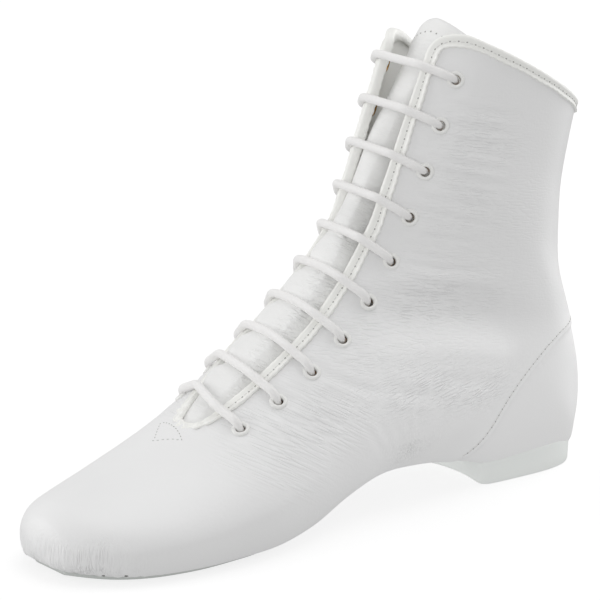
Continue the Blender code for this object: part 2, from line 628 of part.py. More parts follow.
def inside_run(start, end, side, aside):
    """A run behind the flap between two eyelets, bowed aside past the strand of the eyelet between."""
    middle = []
    for part in np.linspace(0, 1, 5)[1:-1]:
        s = start + (end - start) * part
        bow = aside * np.sin(np.pi * part)
        point, normal, _ = place_on_flap(s, side, EYELET_INSET - bow)
        middle.append(point - LACE_UNDER * normal)

    def bend(s, target):
        """Out of the hole at section s and round towards the target."""
        centre, normal, _ = place_on_flap(s, side, EYELET_INSET)
        towards = unit(target - centre + LACE_UNDER * normal)
        return [centre + LACE_BEND * (1 - np.cos(t)) * towards
                - (LACE_UNDER - LACE_BEND + LACE_BEND * np.sin(t)) * normal
                for t in np.radians((45, 90))]

    return bend(start, middle[0]) + middle + bend(end, middle[-1])[::-1]


def lace_route():
    """Straight bars: each end climbs inside its flap and crosses at every second row."""
    rows = {side: eyelet_sections(side) for side in (1, -1)}
    bars = {row: bar_points(*pair) for row, pair in enumerate(zip(rows[1], rows[-1]), start=1)}

    def climb(first_side, steps):
        """Rows passed on the way up, as (row, side) of the eyelet where the strand goes in."""
        route = []
        side = first_side
        for low, high in zip(steps[:-1], steps[1:]):
            near = high == low - 1
            aside = 0.0 if near else LACE_ASIDE * (1 if low % 2 == 0 else -1)
            route += inside_run(rows[side][low - 1], rows[side][high - 1], side, aside)
            route += bars[high] if side > 0 else bars[high][::-1]
            side = -side
        return route

    last = EYELET_ROWS
    left_end = climb(1, (last, *range(last - 1, 0, -2)))
    right_end = climb(-1, tuple(range(last, 0, -2)))
    return left_end[::-1] + bars[last] + right_end


def make_lace():
    """Round cord along its whole route, its hidden ends just inside the top eyelets."""
    curve = bpy.data.curves.new("lace", "CURVE")
    curve.dimensions = "3D"
    curve.bevel_depth = LACE_RADIUS
    curve.bevel_resolution = 1
    curve.use_fill_caps = True
    route = lace_route()
    spline = curve.splines.new("POLY")
    spline.points.add(len(route) - 1)
    spline.points.foreach_set("co", np.insert(route, 3, 1, axis=1).ravel())
    spline.use_smooth = True
    curve.materials.append(material("lace"))
    lace = bpy.data.objects.new("lace", curve)
    bpy.context.collection.objects.link(lace)
    lace.parent = root


def centre_on_floor():
    """Moves the root so that the middle of the boot's box stands at the origin, on the floor."""
    bpy.context.view_layer.update()
    depsgraph = bpy.context.evaluated_depsgraph_get()
    corners = []
    for part in bpy.data.objects:
        if part.type != "EMPTY" and not part.hide_render:
            mesh = part.evaluated_get(depsgraph).to_mesh()
            corners += [part.matrix_world @ v.co for v in mesh.vertices]
    corners = np.array(corners)
    low, high = corners.min(axis=0), corners.max(axis=0)
    root.location = (-(low[0] + high[0]) / 2, -(low[1] + high[1]) / 2, -low[2])


for old in list(bpy.data.objects):
    bpy.data.objects.remove(old, do_unlink=True)
root = bpy.data.objects.new("boot", None)
bpy.context.collection.objects.link(root)
make_upper()
make_tongue()
make_binding()
make_insole()
make_front_sole()
make_heel()
make_eyelets()
make_lace()
centre_on_floor()
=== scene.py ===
import bpy
import math
import numpy as np
from mathutils import Matrix, Vector


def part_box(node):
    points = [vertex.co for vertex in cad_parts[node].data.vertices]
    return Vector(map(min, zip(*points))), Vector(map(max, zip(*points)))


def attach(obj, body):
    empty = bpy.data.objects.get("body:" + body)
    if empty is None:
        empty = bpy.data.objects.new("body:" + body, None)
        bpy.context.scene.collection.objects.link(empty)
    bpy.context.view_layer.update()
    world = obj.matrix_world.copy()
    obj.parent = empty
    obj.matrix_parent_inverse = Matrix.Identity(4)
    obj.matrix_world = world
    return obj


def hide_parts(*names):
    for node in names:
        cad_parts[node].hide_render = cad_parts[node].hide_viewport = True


# White leather jazz boot for the right foot. All lengths below are millimetres in the boot's own frame:
# x from the back of the heel to the toe, y to the boot's left (inner) side, z up from the floor.
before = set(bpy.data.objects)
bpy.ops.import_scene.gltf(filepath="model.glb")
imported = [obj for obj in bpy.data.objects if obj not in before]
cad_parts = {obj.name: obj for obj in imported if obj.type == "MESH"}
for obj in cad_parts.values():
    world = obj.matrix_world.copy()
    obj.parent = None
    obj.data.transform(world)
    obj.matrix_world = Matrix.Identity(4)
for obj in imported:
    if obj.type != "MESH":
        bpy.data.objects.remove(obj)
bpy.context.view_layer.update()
mm = 0.001

last = {"length": 251, "ballWidth": 83, "instepHeight": 74.5, "collarHeight": 180, "heelHeight": 8.2,
        "wedge": 1.2, "sole": 2.0, "arch": 14.7, "wall": 1.8, "gap": 0.3, "softness": 0.22}
tread = last["sole"] + last["gap"]
seat = last["heelHeight"] + last["gap"]

heel = {"back": 1.8, "waist": 36, "front": 62, "width": 53, "squareness": 2.8, "breastWidth": 0.97,
        "breastHollow": 6, "tuck": 1.4, "floorSize": 0.985, "edge": 0.8, "corner": 4.0, "cup": 3.2}

# the boot's frame against the part's: the heel's box has its back at heel["back"] and its middle at y = 0
heelLow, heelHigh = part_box("heel")
shift = np.array([heelLow.x - heel["back"] * mm, (heelLow.y + heelHigh.y) / 2, 0])

# Sections of the last, from the toe tip up to the collar: ridge x (% of length), ridge height (% of instep or
# collar height), low x (% of length), low z, then in % of ball width the half widths, the half widths of the
# flat underside and the middle, and where the section is widest with its roundness above and below.
ridgeX, ridgeZ, lowX, lowZ, leftW, rightW, leftFlat, rightFlat, midY, widest, roundTop, roundLow = range(12)
sectionRows = np.array([
    (100.4, 14.1, 100.4, 10.5, 0.0, 0.0, 0.0, 0.0, 8.0, 0.55, 2.00, 2.0),
    (99.4, 26.2, 99.6, tread + 2.4, 15.1, 15.1, 8.4, 9.0, 8.0, 0.60, 2.00, 2.2),
    (96.6, 32.8, 96.8, tread + 1.2, 27.1, 27.1, 19.9, 19.3, 8.0, 0.62, 2.00, 2.3),
    (91.8, 35.8, 92.2, tread + 0.2, 38.0, 36.7, 31.3, 30.1, 7.5, 0.62, 1.95, 2.4),
    (85.3, 40.6, 86.1, tread, 46.4, 43.4, 39.8, 37.3, 6.0, 0.62, 1.90, 2.4),
    (78.5, 49.0, 78.5, tread, 51.2, 47.6, 44.0, 41.0, 4.2, 0.62, 1.80, 2.4),       # 5 ball
    (71.7, 60.4, 70.1, tread, 53.4, 48.8, 43.8, 41.6, 2.4, 0.62, 1.75, 2.3),
    (65.2, 74.5, 61.0, 4.3, 51.0, 48.2, 38.0, 39.8, 1.2, 0.62, 1.80, 2.2),
    (59.4, 87.9, 51.8, 9.8, 45.8, 47.0, 30.1, 34.9, 0.0, 0.60, 1.85, 2.1),
    (54.5, 100.0, 42.2, last["arch"], 42.2, 45.8, 25.3, 31.3, 0.0, 0.58, 1.90, 2.1),    # 9 instep
    (50.8, 46.4, 32.7, last["arch"] - 1.8, 41.0, 44.6, 24.7, 28.9, 0.0, 0.56, 2.00, 2.1),
    (47.8, 51.4, 22.3, seat, 40.4, 43.4, 27.1, 28.3, 0.0, 0.55, 2.00, 2.2),        # 11 heel breast
    (45.2, 56.7, 10.0, seat - last["wedge"] / 2, 40.4, 42.2, 25.3, 25.9, 0.0, 0.54, 2.00, 2.2),
    (43.0, 61.4, 1.6, seat + 0.8, 40.4, 41.6, 16.9, 16.9, 0.0, 0.54, 2.00, 2.1),
    (41.4, 66.1, 0.0, 30.0, 40.4, 41.0, 10.8, 10.8, 0.0, 0.53, 2.00, 2.0),         # 14 heel back
    (39.6, 71.4, 2.4, 55.0, 40.4, 40.4, 9.6, 9.6, 0.0, 0.53, 2.00, 2.0),
    (37.4, 78.3, 5.6, 81.0, 40.4, 40.4, 8.4, 8.4, 0.0, 0.52, 2.00, 2.0),           # 16 ankle
    (35.1, 85.8, 5.5, 105.0, 39.8, 39.8, 8.4, 8.4, 0.0, 0.52, 2.00, 2.0),
    (32.9, 93.3, 4.1, 125.0, 39.8, 39.8, 8.4, 8.4, 0.0, 0.52, 2.00, 2.0),
    (31.0, 99.4, 2.5, 140.8, 39.8, 39.8, 8.4, 8.4, 0.0, 0.52, 2.00, 2.0)])         # 19 collar
instep, collar = 9, len(sectionRows) - 1

# Throat: section, half gap on the left and on the right
throatRows = np.array([
    (5.70, 0.0, 0.0), (5.80, 6.0, 5.5), (6.05, 8.0, 7.5), (7.0, 11.5, 13.0), (8.0, 12.5, 17.0),
    (9.0, 12.3, 18.5), (10.0, 12.0, 18.0), (12.0, 11.3, 14.5), (14.0, 11.1, 12.3), (16.0, 11.5, 12.0),
    (18.3, 12.3, 13.4), (18.6, 13.8, 17.0), (18.85, 17.5, 22.5), (19.0, 22.0, 28.0)])
throatBase = throatRows[0, 0]


# Arrays and meshes

def soften(values, sigma, closed=False):
    # each row becomes the bell-weighted mean of its neighbours; sigma is the bell's width in rows
    reach = int(math.ceil(3 * sigma))
    weights = np.exp(-0.5 * (np.arange(-reach, reach + 1) / sigma) ** 2)
    weights /= weights.sum()
    head = values[-reach:] if closed else np.repeat(values[:1], reach, 0)
    tail = values[:reach] if closed else np.repeat(values[-1:], reach, 0)
    padded = np.concatenate([head, values, tail])
    return np.apply_along_axis(lambda column: np.convolve(column, weights, "valid"), 0, padded)


def smoothStep(x, low, high):
    # 0 below low, 1 above high, 3t^2 - 2t^3 between
    t = np.clip((x - low) / (high - low), 0, 1)
    return t * t * (3 - 2 * t)


def wave(run, length, phase=0.0):
    # a sine along a run that repeats after a length
    return np.sin(run * 2 * np.pi / length + phase)


def unit(vectors):
    # the same directions with length 1
    return vectors / np.maximum(np.linalg.norm(vectors, axis=-1, keepdims=True), 1e-12)


def runLength(points):
    # distance walked along a row of points, from 0
    steps = np.linalg.norm(np.diff(points, axis=0), axis=1)
    return np.concatenate([[0], np.cumsum(steps)])


def readAt(at, run, values):
    # every column of values, known at the distances run, read at other distances
    return np.stack([np.interp(at, run, column) for column in values.T], axis=1)


def resample(points, spacing, *others):
    # the same path, and values that go with it, at even steps
    run = runLength(points)
    at = np.linspace(0, run[-1], max(int(run[-1] / spacing), 2) + 1)
    out = [readAt(at, run, values) for values in (points, *others)]
    return out if others else out[0]


def gridFaces(index):
    # four corners of every cell of a grid of vertex numbers
    return np.stack([index[:-1, :-1], index[:-1, 1:], index[1:, 1:], index[1:, :-1]], axis=-1).reshape(-1, 4)


def makePiece(name, points, faces, material, nodes=(), uv=None, values=None):
    # points in mm become a mesh in the part's frame; a corner that a face repeats is dropped; uv has one
    # pair, and each of the values one number, for each point
    used = faces != np.roll(faces, 1, axis=1)
    keep = used.sum(axis=1) >= 3
    faces, used = faces[keep], used[keep]
    sizes = used.sum(axis=1)
    flat = faces[used]
    mesh = bpy.data.meshes.new(name)
    mesh.vertices.add(len(points))
    mesh.vertices.foreach_set("co", (points * mm + shift).astype(np.float32).ravel())
    mesh.loops.add(len(flat))
    mesh.loops.foreach_set("vertex_index", flat.astype(np.int32))
    mesh.polygons.add(len(faces))
    mesh.polygons.foreach_set("loop_start", np.concatenate([[0], np.cumsum(sizes)[:-1]]).astype(np.int32))
    if uv is not None:
        layer = mesh.uv_layers.new(name="surface")
        layer.data.foreach_set("uv", uv[flat].astype(np.float32).ravel())
    for label, value in (values or {}).items():
        attribute = mesh.attributes.new(label, "FLOAT", "POINT")
        attribute.data.foreach_set("value", value.astype(np.float32).ravel())
    mesh.update(calc_edges=True)
    mesh.validate()
    mesh.shade_smooth()
    mesh.materials.append(material)
    piece = bpy.data.objects.new(name, mesh)
    bpy.context.scene.collection.objects.link(piece)
    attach(piece, "root")
    if nodes:
        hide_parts(*nodes)
    print("made", name, len(mesh.polygons), "faces")


def endCaps(index, first, end):
    # triangles from one middle point to the first ring, and from another to the last ring
    count = index.shape[1] - 1
    return [np.stack([np.full(count, first), index[0, 1:], index[0, :-1], np.full(count, first)], 1),
            np.stack([np.full(count, end), index[-1, :-1], index[-1, 1:], np.full(count, end)], 1)]


def sweep(path, side, up, profile, closedPath, scale=None):
    # a closed profile (distance along side, distance along up) carried along a path, with flat ends
    size = np.ones(len(path)) if scale is None else scale
    rings = (path[:, None] + size[:, None, None] * (profile[None, :, :1] * side[:, None]
                                                    + profile[None, :, 1:] * up[:, None]))
    count = len(profile)
    index = np.arange(len(path) * count).reshape(len(path), count)
    index = np.concatenate([index, index[:, :1]], axis=1)
    if closedPath:
        return rings.reshape(-1, 3), gridFaces(np.concatenate([index, index[:1]]))
    points = np.vstack([rings.reshape(-1, 3), rings[0].mean(0), rings[-1].mean(0)])
    return points, np.vstack([gridFaces(index), *endCaps(index, len(points) - 2, len(points) - 1)])


# Shape of the last

def fineSections():
    # a cubic between the rows with slopes that never overshoot, mirrored through the toe tip, straight on
    # past the collar, then softened along the boot so that no row shows as a line
    rows = sectionRows.copy()
    rows[:, [ridgeX, lowX]] *= last["length"] / 100
    rows[:instep + 1, ridgeZ] *= last["instepHeight"] / 100
    rows[instep + 1:, ridgeZ] *= last["collarHeight"] / 100
    rows[:, leftW:midY + 1] *= last["ballWidth"] / 100
    rows[0, lowZ] = rows[0, ridgeZ]
    swapped = [lowX, lowZ, ridgeX, ridgeZ]
    mirrored = rows[1].copy()
    mirrored[:4] = rows[1, swapped]
    mirrored[leftW:midY] *= -1
    step = np.diff(np.vstack([mirrored, rows, 2 * rows[-1] - rows[-2]]), axis=0)
    before, after = step[:-1], step[1:]
    same = before * after > 0
    slope = np.where(same, 2 * before * after / np.where(same, before + after, 1), 0)
    s = np.arange(0, collar + 1e-9, sectionStep)
    i = np.minimum(s.astype(int), collar - 1)
    t = (s - i)[:, None]
    body = (rows[i] * (1 + 2 * t) * (1 - t) ** 2 + slope[i] * t * (1 - t) ** 2
            + rows[i + 1] * t * t * (3 - 2 * t) + slope[i + 1] * t * t * (t - 1))
    spare = int(1 / sectionStep)
    beyond = rows[-1] + (np.arange(1, spare + 1) * sectionStep)[:, None] * slope[-1]
    front = body[1:spare + 1][::-1].copy()
    front[:, :4] = front[:, swapped]
    front[:, leftW:midY] *= -1
    return soften(np.vstack([front, body, beyond]), last["softness"] / sectionStep)[spare:]


sectionStep = 0.01
fineTable = fineSections()


def rowsAt(s):
    # the fine table read between its rows
    x = np.clip(np.asarray(s, float) / sectionStep, 0, len(fineTable) - 2)
    i = x.astype(int)
    f = (x - i)[..., None]
    return fineTable[i] * (1 - f) + fineTable[i + 1] * f


def fineThroat():
    # the half gaps on the same fine steps, softened between the base and the flaps' corners
    s = np.arange(len(fineTable)) * sectionStep
    raw = readAt(s, throatRows[:, 0], throatRows[:, 1:])
    soft = soften(raw, 0.3 / sectionStep)
    weight = (smoothStep(s, 6.2, 7.0) * (1 - smoothStep(s, 17.4, 18.0)))[:, None]
    return s, raw * (1 - weight) + soft * weight


throatS, throatGaps = fineThroat()


def gapAt(s, side):
    # half gap of the throat on one side
    return np.interp(s, throatS, throatGaps[:, 0 if side > 0 else 1])


def halfSection(s, side, gap, steps):
    # half a section for each s: a superellipse from the throat edge to the widest place, another one from
    # there to the flat underside, and the underside to its middle; steps counts the three stretches
    r = rowsAt(s)[:, None, :]
    width = r[..., leftW if side > 0 else rightW]
    flat = r[..., leftFlat if side > 0 else rightFlat]
    above, below = 2 / r[..., roundTop], 2 / r[..., roundLow]
    start = np.arcsin(np.clip(gap[:, None] / np.maximum(width, 1e-6), 0, 1) ** (1 / above))
    a = start + (np.pi / 2 - start) * np.linspace(0, 1, steps[0] + 1)
    b = np.pi / 2 * np.linspace(0, 1, steps[1] + 1)[None, 1:]
    sinA, cosA = np.clip(np.sin(a), 0, 1), np.clip(np.cos(a), 0, 1)
    sinB, cosB = np.sin(b), np.clip(np.cos(b), 0, 1)
    down = np.concatenate([r[..., widest] * (1 - cosA ** above),
                           r[..., widest] + (1 - r[..., widest]) * sinB ** below,
                           np.ones((len(s), steps[2]))], axis=1)
    across = np.concatenate([width * sinA ** above, flat + (width - flat) * cosB ** below,
                             flat * np.linspace(1, 0, steps[2] + 1)[1:]], axis=1)
    return np.stack([r[..., ridgeX] + down * (r[..., lowX] - r[..., ridgeX]), r[..., midY] + side * across,
                     r[..., ridgeZ] + down * (r[..., lowZ] - r[..., ridgeZ])], axis=-1)


def shellGrid(s, steps):
    # whole rings from the left throat edge round the underside to the right throat edge, with outward normals
    left = halfSection(s, 1, gapAt(s, 1), steps)
    right = halfSection(s, -1, gapAt(s, -1), steps)
    ring = np.concatenate([left, right[:, -2::-1]], axis=1)
    shut = s <= throatBase
    # the vamp's ridge: the two halves are blended over a few columns so that no line shows
    wrap = ring[:, :-1].copy()
    columns = np.minimum(np.arange(wrap.shape[1]), wrap.shape[1] - np.arange(wrap.shape[1]))
    near = np.exp(-(columns / 9.0) ** 2)[None, :, None] * (shut * 1.0)[:, None, None]
    for _ in range(40):
        mean = (np.roll(wrap, 1, axis=1) + np.roll(wrap, -1, axis=1)) / 2
        wrap += 0.5 * near * (mean - wrap)
    ring = np.concatenate([wrap, np.where(shut[:, None, None], wrap[:, :1], ring[:, -1:])], axis=1)
    around = np.gradient(ring, axis=1)
    seam = ring[:, 1] - ring[:, -2]
    around[shut, 0] = around[shut, -1] = seam[shut]
    along = np.gradient(ring, axis=0)
    normal = np.cross(around, along)
    normal[0] = (1, 0, 0)
    return ring, unit(normal)


def flapFrame(s, side, inset):
    # point of a flap at a distance from its throat edge, with the outward normal and the way to the edge
    def spot(number):
        # the half section at that distance and 1 mm further from the edge
        line = halfSection(np.array([number]), side, gapAt(np.array([number]), side), (160, 60, 2))[0]
        run = runLength(line)
        return np.array([[np.interp(inset + d, run, line[:, k]) for k in range(3)] for d in (0, 1.0)])
    here, ahead = spot(s), spot(s + 0.03)
    inward = unit(here[1] - here[0])
    normal = unit(np.cross(inward, ahead[0] - here[0])) * side
    return here[0], normal, -inward


# Materials

def linear(hexColour):
    # sRGB hex to the linear colour that a shader takes
    srgb = np.array([int(hexColour[i:i + 2], 16) for i in (1, 3, 5)]) / 255
    rgb = np.where(srgb <= 0.04045, srgb / 12.92, ((srgb + 0.055) / 1.055) ** 2.4)
    return (*rgb.tolist(), 1.0)


def addNode(tree, kind, settings=None, inputs=None):
    # one node with its settings; an input is a value, or a pair of a node and the name of its output
    made = tree.nodes.new(kind)
    for label, value in (settings or {}).items():
        setattr(made, label, value)
    for label, value in (inputs or {}).items():
        if isinstance(value, tuple) and isinstance(value[0], bpy.types.Node):
            tree.links.new(value[0].outputs[value[1]], made.inputs[label])
        else:
            made.inputs[label].default_value = value
    return made


def newMaterial(name, colour, roughness, **sockets):
    # a material with its shader's constants set; an underscore in a socket's name stands for a space
    material = bpy.data.materials.new(name)
    material.use_nodes = True
    shader = material.node_tree.nodes["Principled BSDF"]
    shader.inputs["Base Color"].default_value = linear(colour)
    shader.inputs["Roughness"].default_value = roughness
    for label, value in sockets.items():
        shader.inputs[label.replace("_", " ")].default_value = value
    return material, material.node_tree, shader


def perMetre(size):
    # texture scale for a pattern that repeats every size mm on Object coordinates
    return 1 / (size * mm)


# sizes in mm of the patterns that all the leathers share: clouds of colour, of gloss, and of deeper folds
leatherSizes = {"cloud": 38, "gloss": 6, "foldPatch": 11}


def leatherFinish(name, colour, shade, roughness, grain, wrinkles, clean=None):
    # chrome-tanned cowhide, pigment-finished white: an even skin with a fine pebble grain, a soft satin gloss
    # that varies a little, and hair-thin wrinkles where the boot bends; where the clean mask is set a
    # whiter colour is painted in as painted light
    material, tree, shader = newMaterial(name, colour, roughness, Coat_Weight=0.06, Coat_Roughness=0.35)
    place = addNode(tree, "ShaderNodeTexCoord")
    cloud = addNode(tree, "ShaderNodeTexNoise", None,
                    {"Vector": (place, "Object"), "Scale": perMetre(leatherSizes["cloud"]), "Detail": 3})
    tint = addNode(tree, "ShaderNodeMix", {"data_type": "RGBA"},
                   {0: (cloud, "Fac"), 6: linear(shade), 7: linear(colour)})
    # painted light: a whiter colour mixed in by the clean mask
    if clean:
        mask = addNode(tree, "ShaderNodeAttribute", {"attribute_name": "clean"})
        tint = addNode(tree, "ShaderNodeMix", {"data_type": "RGBA"},
                       {0: (mask, "Fac"), 6: (tint, 2), 7: linear(clean)})
    tree.links.new(tint.outputs[2], shader.inputs["Base Color"])
    patch = addNode(tree, "ShaderNodeTexNoise", None,
                    {"Vector": (place, "Object"), "Scale": perMetre(leatherSizes["gloss"]), "Detail": 2})
    gloss = addNode(tree, "ShaderNodeMapRange", None,
                    {"Value": (patch, "Fac"), "To Min": roughness - 0.07, "To Max": roughness + 0.07})
    tree.links.new(gloss.outputs["Result"], shader.inputs["Roughness"])
    # pebbles of 0.6 to 1.1 mm, drawn coarser than the real grain so that they show
    pebble = addNode(tree, "ShaderNodeTexVoronoi", {"feature": "SMOOTH_F1"},
                     {"Vector": (place, "Object"), "Scale": perMetre(grain["size"]), "Smoothness": 0.6})
    bump = addNode(tree, "ShaderNodeBump", None,
                   {"Height": (pebble, "Distance"), "Strength": grain["strength"],
                    "Distance": grain["depth"] * mm})
    for layer in wrinkles:
        turned = addNode(tree, "ShaderNodeMapping", None,
                         {"Vector": (place, "Object"), "Rotation": (0, math.radians(layer["tilt"]), 0)})
        stretched = addNode(tree, "ShaderNodeMapping", None,
                            {"Vector": (turned, "Vector"),
                             "Scale": tuple(perMetre(size) for size in layer["size"])})
        # long cells pulled along the folds, their borders bent by noise: soft grooves lie between them
        noise = addNode(tree, "ShaderNodeTexNoise", None,
                        {"Vector": (stretched, "Vector"), "Scale": 0.7, "Detail": 2})
        pushed = addNode(tree, "ShaderNodeVectorMath", {"operation": "MULTIPLY_ADD"},
                         {0: (noise, "Color"), 1: (layer["wander"],) * 3, 2: (stretched, "Vector")})
        cells = addNode(tree, "ShaderNodeTexVoronoi", {"feature": "DISTANCE_TO_EDGE"},
                        {"Vector": (pushed, "Vector"), "Scale": 1.0})
        line = addNode(tree, "ShaderNodeMapRange", {"interpolation_type": "SMOOTHSTEP"},
                       {"Value": (cells, "Distance"), "From Min": 0.0, "From Max": layer["width"]})
        # patches where the folds are deep and patches where they are faint
        patchy = addNode(tree, "ShaderNodeTexNoise", None,
                         {"Vector": (place, "Object"), "Scale": perMetre(leatherSizes["foldPatch"]),
                          "Detail": 1})
        amount = addNode(tree, "ShaderNodeMapRange", None,
                         {"Value": (patchy, "Fac"), "From Min": 0.3, "From Max": 0.7,
                          "To Min": 0.4, "To Max": 1.0})
        mask = addNode(tree, "ShaderNodeAttribute", {"attribute_name": layer["mask"]})
        share = addNode(tree, "ShaderNodeMath", {"operation": "MULTIPLY"},
                        {0: (amount, "Result"), 1: (mask, "Fac")})
        height = addNode(tree, "ShaderNodeMath", {"operation": "MULTIPLY"},
                         {0: (line, "Result"), 1: (share, "Value")})
        bump = addNode(tree, "ShaderNodeBump", None,
                       {"Height": (height, "Value"), "Strength": 0.8, "Distance": layer["depth"] * mm,
                        "Normal": (bump, "Normal")})
    tree.links.new(bump.outputs["Normal"], shader.inputs["Normal"])
    return material


# painted light: the quarter below the ankle's fold and the counter are painted a whiter white
whiteLeather = leatherFinish(
    "white_leather_pigment_finished", "#F2F2F2", "#EDEDED", 0.44,
    {"size": 1.1, "strength": 0.5, "depth": 0.06},
    [{"size": (7, 7, 1.3), "tilt": 9, "wander": 0.8, "width": 0.26, "depth": 0.34, "mask": "wrinkle"},
     {"size": (6, 6, 1.3), "tilt": -14, "wander": 0.8, "width": 0.26, "depth": 0.36, "mask": "mesh"},
     {"size": (1.0, 1.0, 9), "tilt": 0, "wander": 0.6, "width": 0.30, "depth": 0.50, "mask": "gather"},
     {"size": (14, 14, 1.4), "tilt": 30, "wander": 0.5, "width": 0.28, "depth": 0.42, "mask": "ray"}],
    clean="#FAFAFA")
softLeather = leatherFinish(
    "soft_white_tongue_leather", "#F4F4F3", "#EDEDEC", 0.5,
    {"size": 0.8, "strength": 0.3, "depth": 0.05},
    [{"size": (5, 7, 1.5), "tilt": 28, "wander": 0.9, "width": 0.30, "depth": 0.50, "mask": "wrinkle"}])
bindingLeather = leatherFinish(
    "white_binding_strip_folded", "#FBFBF8", "#F5F5F1", 0.42,
    {"size": 0.7, "strength": 0.25, "depth": 0.04}, [])
liningLeather = leatherFinish(
    "white_lining_sheepskin", "#F6F6F3", "#F0F0EC", 0.6,
    {"size": 0.6, "strength": 0.3, "depth": 0.05}, [])


# pitch of a strand and size of the fuzz in mm, strands each way round the cord
braid = {"pitch": 2.6, "strands": 6, "fuzz": 0.5}


def braidFinish():
    # polyester cord braided round a core: strands cross in small diamonds, dull with a faint fuzz
    material, tree, shader = newMaterial("white_polyester_braid", "#F3F2F1", 0.72,
                                         Sheen_Weight=0.25, Sheen_Roughness=0.5)
    uv = addNode(tree, "ShaderNodeUVMap", {"uv_map": "surface"})
    parts = addNode(tree, "ShaderNodeSeparateXYZ", None, {"Vector": (uv, "UV")})
    waves = []
    for turn in (1, -1):
        # strand number: length over the pitch, plus or minus the strands round the cord
        pitch = addNode(tree, "ShaderNodeMath", {"operation": "MULTIPLY"},
                        {0: (parts, "X"), 1: 2 * math.pi / braid["pitch"]})
        spin = addNode(tree, "ShaderNodeMath", {"operation": "MULTIPLY"},
                       {0: (parts, "Y"), 1: turn * 2 * math.pi * braid["strands"]})
        total = addNode(tree, "ShaderNodeMath", {"operation": "ADD"},
                        {0: (pitch, "Value"), 1: (spin, "Value")})
        waves.append(addNode(tree, "ShaderNodeMath", {"operation": "SINE"}, {0: (total, "Value")}))
    weave = addNode(tree, "ShaderNodeMath", {"operation": "MAXIMUM"},
                    {0: (waves[0], "Value"), 1: (waves[1], "Value")})
    place = addNode(tree, "ShaderNodeTexCoord")
    fuzz = addNode(tree, "ShaderNodeTexNoise", None,
                   {"Vector": (place, "Object"), "Scale": perMetre(braid["fuzz"]), "Detail": 2})
    first = addNode(tree, "ShaderNodeBump", None,
                    {"Height": (weave, "Value"), "Strength": 0.35, "Distance": 0.10 * mm})
    second = addNode(tree, "ShaderNodeBump", None,
                     {"Height": (fuzz, "Fac"), "Strength": 0.3, "Distance": 0.1 * mm,
                      "Normal": (first, "Normal")})
    tree.links.new(second.outputs["Normal"], shader.inputs["Normal"])
    return material


def plainFinish(name, colour, shade, roughness, grit, metallic=0.0):
    # rubber, enamel, brass, cloth or thread: an even skin with clouds of colour of 14 mm and a fine grit,
    # whose size is given in mm
    material, tree, shader = newMaterial(name, colour, roughness, Metallic=metallic)
    place = addNode(tree, "ShaderNodeTexCoord")
    cloud = addNode(tree, "ShaderNodeTexNoise", None,
                    {"Vector": (place, "Object"), "Scale": perMetre(14), "Detail": 4})
    tint = addNode(tree, "ShaderNodeMix", {"data_type": "RGBA"},
                   {0: (cloud, "Fac"), 6: linear(shade), 7: linear(colour)})
    tree.links.new(tint.outputs[2], shader.inputs["Base Color"])
    sand = addNode(tree, "ShaderNodeTexNoise", None,
                   {"Vector": (place, "Object"), "Scale": perMetre(grit), "Detail": 2})
    bump = addNode(tree, "ShaderNodeBump", None,
                   {"Height": (sand, "Fac"), "Strength": 0.25, "Distance": 0.08 * mm})
    tree.links.new(bump.outputs["Normal"], shader.inputs["Normal"])
    return material


laceCord = braidFinish()
# smooth moulded rubber: a dull sheen on a faintly green white
heelRubber = plainFinish("off_white_heel_rubber_moulded", "#F8FAF8", "#F1F5F2", 0.5, 0.7)
# thin sheet rubber: duller and greyer, a line under the leather
soleRubber = plainFinish("grey_white_sole_rubber_moulded", "#D3D6D3", "#C6CAC7", 0.65, 0.6)
# woven cotton: matt and warm, seen only down the shaft
insoleCloth = plainFinish("insole_cotton_drill_woven", "#CFCBC0", "#C3BFB3", 0.85, 0.8)
# stoved enamel: an even white with a small sharp highlight
enamel = plainFinish("eyelet_white_enamel_stoved", "#F5F5F3", "#EEEEEB", 0.28, 2.0)
# rolled brass: a warm glint behind the flaps
brass = plainFinish("eyelet_back_brass_rolled", "#B98F55", "#A87F49", 0.35, 1.2, metallic=1.0)
# sewn polyester: dull white stitches; the needle holes between them are grey dots of painted shade
thread = plainFinish("polyester_sewing_thread", "#EAEAE7", "#E0E0DD", 0.7, 0.4)
needleHoleShade = plainFinish("painted_shade_in_needle_holes", "#B2B2AF", "#A4A4A1", 0.9, 0.4)
# leather in its own shadow: dark specks at the toe's edge
pleatShade = plainFinish("shadowed_gaps_between_pleats", "#7A7A77", "#6C6C69", 0.9, 0.4)
print("materials ready")


# Upper: the leather outside and its lining

# lap: how far the leather is drawn down over the heel at the sides and further at the back; lining: its extra
# depth behind the ankle's folds
upper = {"steps": (64, 50, 8), "toeRows": 128, "baseRows": 14, "shaftRows": 232, "liningSteps": (30, 24, 4),
         "counterDrop": 0.55, "heelHollow": 1.9, "lap": 1.5, "backLap": 1.0, "lining": 1.1}

# Pleats of the toe: the middle of the toe's arc in plan and its radius, lengths of two waves, height, fade
pleats = {"middle": (205, 6.5), "radius": 42, "waves": (5.6, 3.3), "height": 0.11, "fade": 5.5}

# Counter seam in side view, x and z from the back down to the heel breast
counterSeam = np.array([(-8, 57.5), (15, 57.2), (26, 55.2), (34, 51.2), (41, 46.2), (48, 40.2), (54.8, 32.7),
                        (60.6, 24.4), (65.3, 19), (69.5, 15.6), (75, 11.6), (82, 6)])

# Main creases in side view, the same on both sides: x and z of both ends, bow, width, depth; a negative depth
# is a swell
creaseRows = [
    (114, 77, 56, 69, -1.5, 6.2, 1.9),       # fold of the ankle
    (118, 60, 50, 49.5, -2.0, 7.5, -2.8),    # swell under it
    (118, 36, 58, 31, 0.0, 15.0, -1.3),      # the quarter's full lower half
    (104, 84, 66, 78, 0.8, 2.2, 0.32),
    (100, 91, 62, 86, -0.8, 2.2, 0.26),
    (118, 52, 92, 44, 1.5, 2.4, 0.36),
    (96, 49, 62, 43, -1.2, 2.6, 0.32),
    (139, 58, 118, 49, 1.0, 1.8, 0.40)]

